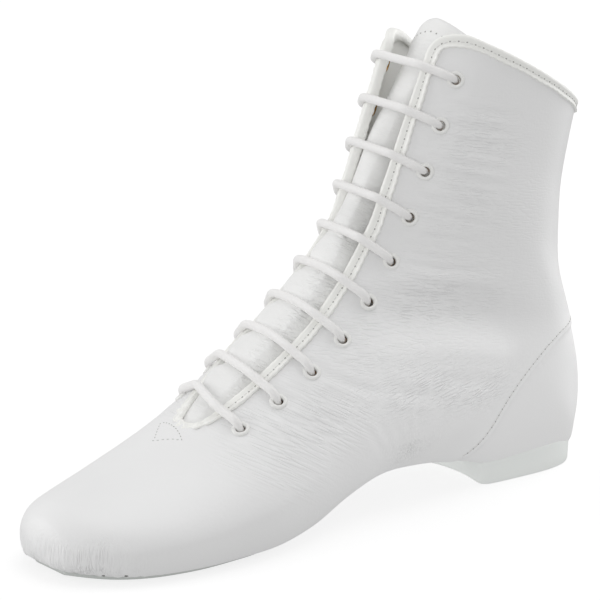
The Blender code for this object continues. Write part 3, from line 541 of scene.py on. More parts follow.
# Fans of small creases: x and z where the first and last one start, where they end, count, width, depth
creaseFans = [
    ((113, 21), (94, 18), (127, 41), (84, 38), 8, 1.5, 0.16),       # up from the arch
    ((166, 50), (152, 55), (142, 40), (128, 48), 7, 1.2, 0.28),     # back from the lower eyelets
    ((84, 152), (93, 112), (52, 146), (60, 104), 11, 1.3, 0.22),    # back from the top eyelets
    ((99, 104), (104, 84), (70, 98), (72, 76), 7, 1.3, 0.20)]       # back from the middle ones

# of a crease: height of the ridges beside it, their place and width in widths of the crease; the depth where
# several creases together stop; how much wider a swell is below its line
crease = {"ridge": 0.4, "ridgeAt": 1.9, "ridgeWidth": 0.9, "deepest": 1.9, "below": 4}

# Where fine wrinkles show, in side view: kind, x and z of the middle, reach along x and z, strength
wrinkleSpots = [
    ("wrinkle", 95, 77, 30, 13, 1.0), ("wrinkle", 70, 137, 13, 10, 1.0), ("wrinkle", 76, 112, 22, 16, 0.45),
    ("wrinkle", 60, 105, 36, 60, 0.10), ("wrinkle", 130, 64, 16, 9, 0.6), ("mesh", 108, 50, 26, 11, 1.0),
    ("mesh", 74, 43, 24, 10, 0.75), ("ray", 140, 45, 18, 12, 0.6), ("ray", 166, 38, 17, 12, 0.9),
    ("gather", 243, 7, 12, 8, 0.9), ("gather", 105, 25, 12, 9, 0.6)]

eyelet = {"rows": 10, "left": (6.28, 17.75), "right": (6.62, 17.85), "inset": 13, "radius": 3.3, "bore": 1.85,
          "barrel": 2.05, "rim": 0.42, "crown": 1.05}


def eyeletSections(side):
    # section of each eyelet from the top down, evenly spaced along the flap
    numbers = np.linspace(*eyelet["left" if side > 0 else "right"], 60)
    line = np.array([flapFrame(s, side, eyelet["inset"])[0] for s in numbers])
    run = runLength(line)
    return np.interp(np.linspace(0, run[-1], eyelet["rows"]), run, numbers)[::-1]


eyeletRows = {side: eyeletSections(side) for side in (1, -1)}
eyeletFrames = [flapFrame(s, side, eyelet["inset"]) for side in (1, -1) for s in eyeletRows[side]]
eyeletCentres = np.array([centre for centre, normal, toEdge in eyeletFrames])


def seamDistance(x, z, line):
    # signed distance to a polyline in side view, positive above and in front of it
    best = np.full(x.shape, 1e9)
    sign = np.zeros(x.shape)
    for (x0, z0), (x1, z1) in zip(line[:-1], line[1:]):
        dx, dz = x1 - x0, z1 - z0
        t = np.clip(((x - x0) * dx + (z - z0) * dz) / (dx * dx + dz * dz), 0, 1)
        away = np.hypot(x - x0 - t * dx, z - z0 - t * dz)
        side = np.sign(dx * (z - z0) - dz * (x - x0))
        closer = away < best
        sign = np.where(closer, side, sign)
        best = np.minimum(best, away)
    return best * sign


def creaseTable():
    # the rows above, with every fan spread into single creases of uneven length
    spread = np.random.default_rng(4)
    rows = list(creaseRows)
    for rootA, rootB, tipA, tipB, count, width, depth in creaseFans:
        for part in np.linspace(0, 1, count):
            wobble = spread.uniform(-1.2, 1.2, 6)
            root = np.array(rootA) * (1 - part) + np.array(rootB) * part + wobble[:2]
            tip = np.array(tipA) * (1 - part) + np.array(tipB) * part + 2 * wobble[2:4]
            rows.append((*root, *tip, wobble[4], width * (1 + 0.2 * wobble[5]),
                         depth * (1 + 0.3 * wobble[4])))
    return rows


def creaseHeight(x, y, z):
    # each crease is a trough along its bowed line with a low ridge on both sides, fading at its ends; a swell
    # is the trough turned over, without ridges, wider below its line and kept off the sole's edge; they lie
    # on the boot's sides
    total = np.zeros(x.shape)
    for x0, z0, x1, z1, bow, width, depth in creaseTable():
        length = math.hypot(x1 - x0, z1 - z0)
        dx, dz = (x1 - x0) / length, (z1 - z0) / length
        run = (x - x0) * dx + (z - z0) * dz
        inside = np.clip(run, 0, length)
        part = inside / length
        off = (z - z0) * dx - (x - x0) * dz - bow * 4 * part * (1 - part)
        if depth < 0:
            off = np.where(off * dx < 0, off / crease["below"], off)
        away = np.hypot(off, run - inside) / width
        fade = np.sqrt(np.sin(np.pi * np.clip(part, 0.02, 0.98)))
        facing = smoothStep(np.abs(y), 5, 14)
        beside = (away - crease["ridgeAt"]) / crease["ridgeWidth"]
        ridge = crease["ridge"] * np.exp(-beside ** 2) if depth > 0 else 0
        clear = smoothStep(z, 10, 30) if depth < 0 else 1
        total += depth * fade * facing * clear * (ridge - np.exp(-away ** 2))
    return np.maximum(total, -crease["deepest"])


def upperStations():
    # section numbers of the rings: closer at the toe tip, closest round the throat's base, even up the shaft
    toe = throatBase * np.linspace(0, 1, upper["toeRows"] + 1) ** 1.15
    base = np.linspace(throatBase, 6.1, upper["baseRows"] + 1)[1:]
    shaft = np.linspace(6.1, collar, upper["shaftRows"] + 1)[1:]
    return np.concatenate([toe, base, shaft])


def eyeletDip(points):
    # the leather is pressed in round every eyelet: a bell of 4.5 mm, and a low ridge where it rises again
    gaps = np.linalg.norm(points[..., None, :] - eyeletCentres, axis=-1).min(axis=-1)
    return 0.12 * np.exp(-((gaps - 7.0) / 2.0) ** 2) - 0.30 * np.exp(-(gaps / 4.5) ** 2)


def openEyelets(points, faces, radius):
    # drops the faces whose middle lies in an eyelet's hole
    middle = points[faces].mean(axis=1)
    gaps = np.linalg.norm(middle[:, None] - eyeletCentres, axis=-1)
    return gaps.min(axis=1) > radius


def ringIndex(s, columns):
    # vertex numbers of the rings: one at the toe tip, and shared along the shut ridge
    index = np.arange(len(s) * columns).reshape(len(s), columns)
    shut = s <= throatBase
    index[shut, -1] = index[shut, 0]
    index[0] = 0
    return index


def toePleats(x, y, z):
    # where the toe's leather is drawn over the sole: two waves along the edge that fade upwards
    middleX, middleY = pleats["middle"]
    turn = np.arctan2(y - middleY, x - middleX) * pleats["radius"]
    pleat = wave(turn, pleats["waves"][0]) + 0.7 * wave(turn, pleats["waves"][1], 1.0)
    fade = np.exp(-(np.maximum(z - 4.0, 0) / pleats["fade"]) ** 2)
    return pleats["height"] * pleat * fade * smoothStep(x, 212, 236)


def heelLap(ring, s):
    # the leather is drawn down over the heel's top edge, most at the back: a bell over the height
    x, z = ring[..., 0], ring[..., 2]
    depth = upper["lap"] + upper["backLap"] * (1 - smoothStep(x, 4, 40))
    return depth * (1 - smoothStep(x, 54, 70)) * np.exp(-((z - 9.5) / 4.5) ** 2) * (s > 10)[:, None]


def heelHollow(ring, s):
    # the back curves in above the heel: a bell over the height, fading round to the sides
    x, z = ring[..., 0], ring[..., 2]
    bell = np.exp(-((z - 13) / 8) ** 2) * (1 - smoothStep(x, 3, 18))
    return upper["heelHollow"] * bell * (s > 10)[:, None]


def leatherMasks(x, z, seam):
    # strength of each kind of wrinkle, a bell round every spot that stops at the counter; and painted light:
    # the quarter below the ankle's fold and the counter are painted whiter than the shaft, for the light they
    # catch
    front = smoothStep(seam, 0.0, 6.0)
    masks = {"wrinkle": 0, "mesh": 0, "gather": 0, "ray": 0}
    for kind, x0, z0, reachX, reachZ, strength in wrinkleSpots:
        spot = strength * np.exp(-((x - x0) / reachX) ** 2 - ((z - z0) / reachZ) ** 2)
        masks[kind] = masks[kind] + spot * front
    fold = np.interp(x, (56, 114), (69, 77))
    masks["clean"] = (1 - smoothStep(z - fold, -14, 2)) * (1 - smoothStep(x, 110, 150))
    return {kind: np.clip(mask, 0, 1) for kind, mask in masks.items()}


def makeUpper():
    # the last's rings, raised along their normals by dips, creases and pleats and lowered under the counter
    s = upperStations()
    ring, normal = shellGrid(s, upper["steps"])
    x, y, z = np.moveaxis(ring, -1, 0)
    seam = seamDistance(x, z, counterSeam)
    height = eyeletDip(ring) + creaseHeight(x, y, z) * smoothStep(seam, 3.0, 20.0)
    height -= upper["counterDrop"] * smoothStep(-seam, -0.3, 0.9) * (s > 9)[:, None]
    height += toePleats(x, y, z)
    points = ring + normal * height[..., None]
    points[..., 2] -= heelLap(ring, s)
    points[..., 0] += heelHollow(ring, s)
    faces = gridFaces(ringIndex(s, ring.shape[1]))
    keep = openEyelets(points.reshape(-1, 3), faces, 2.5)
    makePiece("upper_leather", points.reshape(-1, 3), faces[keep], whiteLeather, ["upper"],
              values=leatherMasks(x, z, seam))
    return {"s": s, "points": points, "normal": normal, "seam": seam}


def makeLining():
    # the same rings one wall further in, deeper behind the ankle's folds, and at the throat and collar across
    # the wall's edge
    s = np.concatenate([throatBase * np.linspace(0, 1, 41), np.linspace(throatBase, collar, 91)[1:]])
    ring, normal = shellGrid(s, upper["liningSteps"])
    deeper = upper["lining"] * smoothStep(ring[..., 2], 25, 40) * (1 - smoothStep(s, 15.0, 16.5))[:, None]
    inside = ring - (last["wall"] + deeper)[..., None] * normal
    inside[..., 0] += heelHollow(ring, s)
    edgeLeft, edgeRight = ring[:, :1] - 0.1 * normal[:, :1], ring[:, -1:] - 0.1 * normal[:, -1:]
    shut = (s <= throatBase)[:, None, None]
    inside = np.concatenate([np.where(shut, inside[:, :1], edgeLeft), inside,
                             np.where(shut, inside[:, -1:], edgeRight)], axis=1)
    rim = np.concatenate([edgeLeft[-1], ring[-1] - 0.1 * normal[-1], edgeRight[-1]])
    inside = np.concatenate([inside, rim[None]])
    s = np.append(s, collar + 0.01)
    faces = gridFaces(ringIndex(s, inside.shape[1]))[:, ::-1]
    keep = openEyelets(inside.reshape(-1, 3), faces, 3.2)
    makePiece("upper_lining", inside.reshape(-1, 3), faces[keep], liningLeather)


skin = makeUpper()
makeLining()


# Stitches

def beads(centres, along, up, half):
    # one small ellipsoid at every centre, its half sizes along the seam, across it and upwards
    turn, tilt = np.meshgrid(np.linspace(0, 2 * np.pi, 9)[:-1], np.linspace(-np.pi / 2, np.pi / 2, 6),
                             indexing="ij")
    across = np.cross(up, along)
    shape = np.stack([np.cos(turn) * np.cos(tilt), np.sin(turn) * np.cos(tilt), np.sin(tilt)], axis=-1)
    shape = shape.reshape(-1, 3) * np.array(half)
    axes = np.stack([along, across, up], axis=1)
    points = centres[:, None] + np.einsum("vk,nkc->nvc", shape, axes)
    index = np.arange(len(shape)).reshape(turn.shape)
    index[:, 0], index[:, -1] = index[0, 0], index[0, -1]
    faces = gridFaces(np.concatenate([index, index[:1]]))
    faces = (faces[None] + np.arange(len(centres))[:, None, None] * len(shape)).reshape(-1, 4)
    return points.reshape(-1, 3), faces


def spaced(path, pitch, *others):
    # points and their vectors every pitch along a path, with the direction of travel
    run = runLength(path)
    at = np.arange(pitch / 2, run[-1], pitch)
    out = [readAt(at, run, values) for values in (path, *others)]
    return *out, unit(readAt(at, run, np.gradient(path, axis=0)))


def sewLine(name, path, up, pitch, threadHalf, holeHalf):
    # a row of stitches lying on the surface, and grey dots of painted shade in the needle holes between them
    up = unit(up)
    spots, normal, ahead = spaced(path, pitch, up)
    normal = unit(normal)
    if threadHalf:
        points, faces = beads(spots, ahead, normal, threadHalf)
        makePiece(name + "_thread", points, faces, thread)
    points, faces = beads(spots + ahead * pitch / 2, ahead, normal, holeHalf)
    makePiece(name + "_hole_shade", points, faces, needleHoleShade)


# Counter seam: the quarter's cut edge laps over the counter and is sewn beside the edge

counter = {"first": 10.4, "edge": 0.75, "pitch": 2.7, "inset": 2.0}


def crossing(seam, grids, first, second):
    # each grid at the place between two of its points where the distance to the seam is nought
    low, high = seam[first], seam[second]
    part = (low / (low - high))[:, None]
    return [grid[first] * (1 - part) + grid[second] * part for grid in grids]


def counterPath():
    # along every section the place where the seam is crossed, down the left side and up the right one; round
    # the back, where the seam runs along the sections, the crossing in every column
    s, points, normal, seam = skin["s"], skin["points"], skin["normal"], skin["seam"]
    middle = points.shape[1] // 2
    halves, ends, lastRows = [], [], []
    for flip in (1, -1):
        seamHalf, *grids = [grid[:, ::flip][:, :middle + 1] for grid in (seam, points, normal)]
        rows = np.flatnonzero((s > counter["first"]) & (seamHalf[:, -1] < 0) & (s < 16))
        column = np.argmax(seamHalf[rows] < 0, axis=1)
        halves.append(crossing(seamHalf, grids, (rows, column - 1), (rows, column)))
        ends.append(column[-1])
        lastRows.append(rows[-1])
    columns = np.arange(ends[0], points.shape[1] - ends[1])
    start = min(lastRows)
    above = start + np.maximum(np.argmax(seam[start:, columns] > 0, axis=0), 1)
    back = crossing(seam, (points, normal), (above - 1, columns), (above, columns))
    path, up = [np.concatenate([halves[0][k], back[k], halves[1][k][::-1]]) for k in (0, 1)]
    path, up = resample(path, 0.7, up)
    return soften(path, 3.0), unit(soften(up, 4.0))


def makeCounterSeam():
    # the lapped edge is a thin rounded strip along the seam, highest at the cut
    path, up = counterPath()
    ahead = unit(np.gradient(path, axis=0))
    quarter = unit(np.cross(up, ahead))
    quarter *= np.sign((quarter * np.array([1, 0, 1])).sum())
    e = counter["edge"]
    profile = np.array([(-0.30, -0.7), (-0.34, 0.10), (-0.16, 0.28), (0.3, 0.32), (e + 0.5, 0.20),
                        (e + 1.6, -0.02), (e + 1.6, -0.7)])
    points, faces = sweep(path, quarter, up, profile, False)
    flipped = np.cross(quarter[0], up[0]) @ ahead[0] > 0
    # the cut edge is painted whiter all over as painted light, like the counter round it
    makePiece("quarter_cut_edge", points, faces[:, ::-1] if flipped else faces, whiteLeather,
              values={"clean": np.ones(len(points))})
    sewLine("counter_seam", path + quarter * counter["inset"] + up * 0.26, up, counter["pitch"],
            (0.85, 0.24, 0.16), (0.42, 0.22, 0.12))


makeCounterSeam()


# Gaps where two pleats of the toe meet at the sole's edge, where painted shadow goes: x, y and z of each

pleatGaps = np.array([(238.9, 29.6, 3.3), (232.7, 34.5, 3.5)])


def makePleatGaps():
    # a small dark lens of painted shadow lying in the leather at the point nearest to each place
    points, normal = skin["points"].reshape(-1, 3), skin["normal"].reshape(-1, 3)
    nearest = np.argmin(((pleatGaps[:, None] - points[None]) ** 2).sum(-1), axis=1)
    along = unit(np.cross(normal[nearest], (0, 0, 1.0)))
    points, faces = beads(points[nearest], along, normal[nearest], (0.75, 0.55, 0.14))
    makePiece("toe_pleat_painted_shadows", points, faces, pleatShade)


makePleatGaps()


# Triangle tacked through the vamp below the throat: corners in plan, x and y, and the bow of each side

tack = {"corners": [(185.8, -10.8), (190.8, 9.4), (195.7, -1.1)], "bows": (-1.0, 0.3, -0.2), "pitch": 2.1}


def dropOnVamp(plan):
    # the vamp's point over each place in plan: the nearest grid point, moved in its tangent plane
    rows = skin["s"] < 6.5
    points, normal = skin["points"][rows].reshape(-1, 3), skin["normal"][rows].reshape(-1, 3)
    upward = normal[:, 2] > 0.3
    points, normal = points[upward], normal[upward]
    nearest = np.argmin(((plan[:, None] - points[None, :, :2]) ** 2).sum(-1), axis=1)
    base, up = points[nearest], normal[nearest]
    z = base[:, 2] - ((plan - base[:, :2]) * up[:, :2]).sum(1) / up[:, 2]
    return np.column_stack([plan, z]), up


def makeTack():
    # the triangle's bowed sides in plan, a parabola each, dropped on the vamp and shown by the painted shade
    # of their needle holes
    corners = np.array(tack["corners"])
    lines = []
    for start, end, bow in zip(corners, np.roll(corners, -1, axis=0), tack["bows"]):
        part = np.linspace(0, 1, 12)[:-1, None]
        out = np.array([end[1] - start[1], start[0] - end[0]])
        lines.append(start + (end - start) * part + bow * 4 * part * (1 - part) * out / np.linalg.norm(out))
    plan = np.vstack([*lines, corners[:1]])
    path, up = dropOnVamp(plan)
    sewLine("vamp_tack", path, up, tack["pitch"], None, (0.62, 0.17, 0.08))


makeTack()


# Edge binding: a strip folded over the throat edge and rolled round the collar

binding = {"width": 4.0, "height": 0.95, "under": 2.9, "collarSize": 0.84, "baseSize": 0.5,
           "lowRightSize": 0.62, "spacing": 0.7, "stitch": 3.2, "stitchInset": 1.9, "gather": 0.28,
           "pucker": 0.04}


def bindingPath():
    # one loop: from the throat base up the left edge, round the collar and down the right edge
    s = np.concatenate([np.linspace(throatBase + 0.01, 6.1, 16), np.linspace(6.1, collar, 300)[1:]])
    ring, normal = shellGrid(s, (40, 30, 4))
    path = np.concatenate([ring[:, 0], ring[-1, 1:-1], ring[::-1, -1]])
    up = np.concatenate([normal[:, 0], normal[-1, 1:-1], normal[::-1, -1]])
    onCollar = np.concatenate([np.zeros(len(s)), np.ones(ring.shape[1] - 2), np.zeros(len(s))])
    atBase = np.concatenate([s < 6.0, np.zeros(ring.shape[1] - 2), s[::-1] < 6.0]).astype(float)
    lowRight = np.concatenate([np.zeros(len(s) + ring.shape[1] - 2), 1 - smoothStep(s[::-1], 7.2, 8.6)])
    path, up, marks = resample(path, binding["spacing"], up, np.stack([onCollar, atBase, lowRight], axis=1))
    sigma = 1.6 / binding["spacing"]
    path = soften(path, sigma, closed=True)
    up = unit(soften(up, sigma * 1.5, closed=True))
    marks = soften(marks, 4 / binding["spacing"], closed=True)
    ahead = unit(np.roll(path, -1, axis=0) - np.roll(path, 1, axis=0))
    inward = unit(np.cross(ahead, up))
    size = 1 + (binding["collarSize"] - 1) * marks[:, 0] + (binding["baseSize"] - 1) * marks[:, 1]
    size *= 1 + (binding["lowRightSize"] - 1) * marks[:, 2] * (1 - marks[:, 1])
    # the leather is gathered round the throat's base: lumps of uneven length
    run = np.arange(len(path)) * binding["spacing"]
    lumps = wave(run, 4.3) + 0.7 * wave(run, 2.9, 1.3)
    path = path + (binding["gather"] * lumps * marks[:, 1])[:, None] * (up + 0.6 * inward)
    # and drawn in a little at every stitch, with a slow unevenness
    pucker = binding["pucker"] * (wave(run, binding["stitch"]) + wave(run, 17))
    return path, inward, up, size * (1 + pucker + 0.18 * lumps * marks[:, 1]), marks


bindPath, bindIn, bindUp, bindSize, bindMarks = bindingPath()


def makeBinding():
    # profile across the strip: a raised free edge, a sewn hollow, and a round fold over the wall's edge
    w, h, u = binding["width"], binding["height"], binding["under"]
    profile = np.array([
        # free edge
        (w + 0.02, -0.10), (w + 0.12, 0.45), (w - 0.02, h + 0.08), (w - 0.35, h + 0.26), (w - 0.75, h + 0.10),
        # sewn hollow
        (w - 1.1, h - 0.28), (2.2, h - 0.40), (1.75, h - 0.42), (1.2, h - 0.30), (0.5, h - 0.02),
        # fold over the wall's edge
        (-0.25, h - 0.08), (-0.85, 0.35), (-1.10, -0.5), (-1.1, -1.5), (-0.75, -2.3), (-0.1, -u),
        # behind the wall, and back along the strip's own inside
        (1.5, -u - 0.15), (w - 0.6, -u - 0.4), (w - 0.4, -u + 0.2), (1.5, -1.9), (0.2, -1.85), (0.1, 0.0),
        (1.5, 0.0)])
    points, faces = sweep(bindPath, bindIn, bindUp, profile, True, bindSize)
    makePiece("edge_binding_strip", points, faces[:, ::-1], bindingLeather, ["edge_binding"])
    level = bindPath + bindSize[:, None] * (binding["stitchInset"] * bindIn + (h - 0.38) * bindUp)
    sewn = (bindMarks[:, 1] < 0.3) & (bindMarks[:, 2] < 0.5)
    sewLine("binding_seam", level[sewn], bindUp[sewn], binding["stitch"], (0.85, 0.22, 0.10),
            (0.42, 0.27, 0.10))


makeBinding()


# Tongue

# section, recess from the ridge, extra depth under the flaps, half widths left and right, middle
tongueRows = np.array([
    (5.10, 2.6, 2.0, 10, 10, 0.0), (5.70, 2.1, 3.0, 13, 13, 0.0), (6.20, 0.6, 6.0, 17, 17, 0.0),
    (7.00, -0.6, 10.5, 20, 21, 0.0), (8.00, -1.2, 11.5, 22, 25, 0.0), (9.00, -1.2, 11.5, 23, 27, 0.0),
    (10.0, -0.8, 11.5, 23, 27, 0.0), (12.0, 1.0, 13.0, 22, 23, 0.5), (14.0, 2.5, 13.0, 22, 22, 1.0),
    (16.0, 4.5, 9.5, 22, 23, 1.5), (18.0, 10.0, 5.0, 21, 24, 2.0), (19.5, 15.0, 3.0, 20, 20, 2.0)])
tongue = {"thickness": 1.6, "shoulder": (-7, 5), "peak": -0.2, "fall": 0.42, "rows": 190, "columns": 90,
          "swell": 1.0, "farLump": 2.6, "nearSink": 3.5, "dent": 0.7, "hemRows": 7}


def tongueValues(s):
    # the table's columns at each s, with the corners of the straight runs softened
    fine = np.arange(5.1, 19.51, 0.02)
    table = soften(readAt(fine, tongueRows[:, 0], tongueRows[:, 1:]), 14)
    return [np.interp(s, fine, column) for column in table.T]


def tongueSurface(s, across):
    # the section's own curve, moved along the section's plane by the recess, and deeper past the throat's
    # edges; at the throat's base and up the shaft it stays flat nearly to the right flap's edge, and up the
    # shaft it goes down earlier and slower towards the left one
    r = rowsAt(s)
    recess, dip = tongueValues(s)[:2]
    ratio = np.clip(np.abs(across) / np.where(across > 0, r[..., leftW], r[..., rightW]), 0, 0.999)
    curve = r[..., widest] * (1 - (1 - ratio ** r[..., roundTop]) ** (1 / r[..., roundTop]))
    edge = np.where(across > 0, gapAt(s, 1), gapAt(s, -1))
    flat = np.where(across < 0, smoothStep(s, 11.5, 13.0) + 1 - smoothStep(s, 6.8, 8.0), 0)
    eased = np.where(across > 0, smoothStep(s, 11.0, 13.0), 0)
    start = tongue["shoulder"][0] + 4 * flat - 4 * eased
    end = tongue["shoulder"][1] + 3 * flat + 2 * eased
    sink = dip * smoothStep(np.abs(across) - edge, start, end)
    back = np.stack([r[..., lowX] - r[..., ridgeX], r[..., lowZ] - r[..., ridgeZ]], axis=-1)
    length = np.linalg.norm(back, axis=-1)
    depth = curve * length + recess + sink
    back = back / length[..., None]
    return np.stack([r[..., ridgeX] + depth * back[..., 0], r[..., midY] + across,
                     r[..., ridgeZ] + depth * back[..., 1]], axis=-1)


def tongueSwell(s, across):
    # soft lumps between the bars of the lace over the instep, highest beside the right flap, hollows under
    # the bars; up the shaft the tongue leans back behind the left flap
    bars = np.sort((eyeletRows[1] + eyeletRows[-1]) / 2)
    phase = np.interp(s, bars, np.arange(len(bars)))
    lump = 1 - np.exp(-((phase - np.round(phase)) / 0.22) ** 2)
    where = smoothStep(s, 6.2, 6.9) * (1 - smoothStep(s, 11.5, 13.5))
    crown = tongue["swell"] * (lump - 1) * np.clip(1 - (across / 16) ** 2, 0, 1)
    far = np.exp(-((across + gapAt(s, -1) - 2.5) / 5) ** 2)
    far = far * smoothStep(s, 6.0, 7.6) * (1 - smoothStep(s, 11.0, 12.5))
    sink = smoothStep(across, -9, 11) * smoothStep(s, 11.0, 13.0) * (1 - smoothStep(s, 17.5, 19.0))
    return crown * where + tongue["farLump"] * lump * far - tongue["nearSink"] * sink


def closedSheet(outer, inner):
    # two grids of the same size, joined round their rim into one closed sheet
    rows, columns = outer.shape[:2]
    count = rows * columns
    index = np.arange(count).reshape(rows, columns)
    rim = np.concatenate([index[0, :-1], index[:-1, -1], index[-1, :0:-1], index[:0:-1, 0]])
    ahead = np.roll(rim, -1)
    walls = np.stack([ahead, rim, rim + count, ahead + count], axis=1)
    faces = np.vstack([gridFaces(index), gridFaces(index)[:, ::-1] + count, walls])
    return np.vstack([outer.reshape(-1, 3), inner.reshape(-1, 3)]), faces


def makeTongue():
    # a sheet with a low arc for its top, swollen between the bars and with shallow dents up the shaft
    first, end = tongueRows[0, 0], tongueRows[-1, 0]
    v = np.linspace(-1, 1, tongue["columns"])[None, :]
    top = end - tongue["fall"] * np.abs(v - tongue["peak"]) ** 1.4
    s = first + (top - first) * np.linspace(0, 1, tongue["rows"])[:, None]
    _, _, left, right, middle = tongueValues(s)
    across = middle + np.where(v > 0, left, right) * v
    outer = tongueSurface(s, across)
    normal = unit(np.cross(np.gradient(outer, axis=1), np.gradient(outer, axis=0)))
    dents = np.sin(s * 2.6 + 0.9) * np.exp(-((across - 4) / 7) ** 2)
    dents = dents + 0.7 * np.sin(s * 1.7) * np.exp(-((across + 6) / 6) ** 2)
    height = tongueSwell(s, across) + tongue["dent"] * dents * smoothStep(s, 11, 13)
    outer = outer + normal * height[..., None]
    inner = outer - tongue["thickness"] * normal
    points, faces = closedSheet(outer, inner)
    wrinkle = 0.2 + 0.8 * np.exp(-((s - 9.8) / 3.0) ** 2) * smoothStep(across, -6, 6)
    wrinkle = np.concatenate([wrinkle.ravel(), wrinkle.ravel() * 0])
    makePiece("tongue_leather", points, faces, softLeather, ["tongue"], values={"wrinkle": wrinkle})
    row = tongue["rows"] - tongue["hemRows"]
    # the hem shows only as grey dots of painted shade in its needle holes
    sewLine("tongue_hem", outer[row, 5:-5], normal[row, 5:-5], 3.4, None, (0.45, 0.35, 0.12))


makeTongue()


# Eyelets

def makeEyelets():
    # a rounded rim and its barrel turned about each eyelet's axis, in enamel; behind the wall a brass roll
    radius, bore, barrel = eyelet["radius"], eyelet["bore"], eyelet["barrel"]
    rim, crown = eyelet["rim"], eyelet["crown"]
    front = np.array([
        (barrel, -1.0), (radius - 0.1, 0.0), (radius, rim), (radius - 0.12, rim + 0.25),
        (radius - 0.45, crown - 0.05), (bore + 0.6, crown), (bore + 0.2, crown - 0.12), (bore, crown - 0.4),
        (bore - 0.05, 0.0), (bore - 0.05, -1.0)])
    backSide = np.array([
        (bore - 0.05, -1.0), (bore - 0.05, -2.0), (bore + 0.15, -2.5), (2.7, -2.6), (3.1, -2.35),
        (3.0, -2.05), (barrel, -2.0), (barrel, -1.0)])
    turn = np.linspace(0, 2 * np.pi, 33)[:-1]
    for name, profile, material in (("eyelet_rims", front, enamel), ("eyelet_backs", backSide, brass)):
        allPoints, allFaces = [], []
        for centre, normal, toEdge in eyeletFrames:
            other = np.cross(normal, toEdge)
            spokes = np.cos(turn)[:, None] * toEdge + np.sin(turn)[:, None] * other
            points = (centre - 0.3 * normal + profile[None, :, :1] * spokes[:, None]
                      + profile[None, :, 1:] * normal).reshape(-1, 3)
            index = np.arange(len(points)).reshape(len(turn), len(profile))
            index = np.concatenate([index, index[:, :1]], axis=1)
            faces = gridFaces(np.concatenate([index, index[:1]])) + sum(len(p) for p in allPoints)
            allPoints.append(points)
            allFaces.append(faces)
        nodes = [f"eyelet_{label}_{row:02d}" for label in ("left", "right")
                 for row in range(1, eyelet["rows"] + 1)]
        makePiece(name, np.vstack(allPoints), np.vstack(allFaces), material,
                  nodes if name == "eyelet_rims" else ())


makeEyelets()


# Lace: straight bars outside, runs between the rows inside, through every eyelet

# exit: distance towards the throat edge and height over the leather, from inside the eyelet outwards
lace = {"radius": 1.65, "over": 2.9, "flap": 2.1, "under": 4.5, "bend": 2.3, "aside": 3.9, "sides": 16,
        "spacing": 0.8, "press": 0.6, "toEdge": 0.25, "pinch": 0.3,
        "exit": ((0.25, -2.3), (0.3, -0.6), (0.9, 0.75), (2.3, 1.9), (4.4, 2.15))}


def laceBar(left, right):
    # slanting out of the left eyelet, over flap and binding, in one parabola over the tongue, and down again
    halves = []
    for side, s in ((1, left), (-1, right)):
        centre, normal, toEdge = flapFrame(s, side, eyelet["inset"])
        half = [centre + along * toEdge + height * normal for along, height in lace["exit"]]
        for inset, past, height in ((eyelet["inset"] / 2, 0, lace["flap"]), (0, 0.9, lace["over"])):
            point, out, toEdge = flapFrame(s, side, inset)
            half.append(point + past * toEdge + height * out)
        halves.append(half)
    start, end = halves[0][-1], halves[1][-1]
    parts = np.linspace(0, 1, 8)[1:-1]
    points, outs, needs = [], [], []
    for part in parts:
        point = start + (end - start) * part
        s = left + (right - left) * part
        r = rowsAt(s)
        outward = unit(np.array([r[ridgeX] - r[lowX], 0, r[ridgeZ] - r[lowZ]]))
        across = np.array([point[1] - r[midY]])
        below = tongueSurface(np.array([s]), across)[0] + outward * tongueSwell(np.array([s]), across)[0]
        points.append(point)
        outs.append(outward)
        needs.append(((below - point) @ outward + lace["radius"] - lace["press"]) / (4 * part * (1 - part)))
    rise = max(0.0, *needs[1:-1])
    middle = [point + rise * 4 * part * (1 - part) * outward
              for part, point, outward in zip(parts, points, outs)]
    return halves[0] + middle + halves[1][::-1]


def laceInside(start, end, side, aside):
    # behind a flap from one eyelet to the next, bowed aside past the strand of the eyelet between
    middle = []
    for part in np.linspace(0, 1, 7)[1:-1]:
        bow = aside * math.sin(math.pi * part)
        point, normal, _ = flapFrame(start + (end - start) * part, side, eyelet["inset"] - bow)
        middle.append(point - lace["under"] * normal)
    bends = []
    for s, target in ((start, middle[0]), (end, middle[-1])):
        centre, normal, toEdge = flapFrame(s, side, eyelet["inset"])
        centre = centre + lace["toEdge"] * toEdge
        towards = unit(target - centre + lace["under"] * normal)
        bends.append([centre + lace["bend"] * (1 - math.cos(t)) * towards
                      - (lace["under"] - lace["bend"] + lace["bend"] * math.sin(t)) * normal
                      for t in np.radians((45, 90))])
    return bends[0] + middle + bends[1][::-1]


def laceRoute():
    # each end climbs inside its flap and crosses at every second row
    rows = eyelet["rows"]
    bars = {row: laceBar(*pair) for row, pair in enumerate(zip(eyeletRows[1], eyeletRows[-1]), start=1)}

    def climb(side, steps):
        # from row to row: inside the flap, then across by the bar
        route = []
        for low, high in zip(steps[:-1], steps[1:]):
            aside = 0.0 if high == low - 1 else lace["aside"] * (1 if low % 2 == 0 else -1)
            route += laceInside(eyeletRows[side][low - 1], eyeletRows[side][high - 1], side, aside)
            route += bars[high] if side > 0 else bars[high][::-1]
            side = -side
        return route

    leftEnd = climb(1, (rows, *range(rows - 1, 0, -2)))
    rightEnd = climb(-1, tuple(range(rows, 0, -2)))
    return np.array(leftEnd[::-1] + bars[rows] + rightEnd)


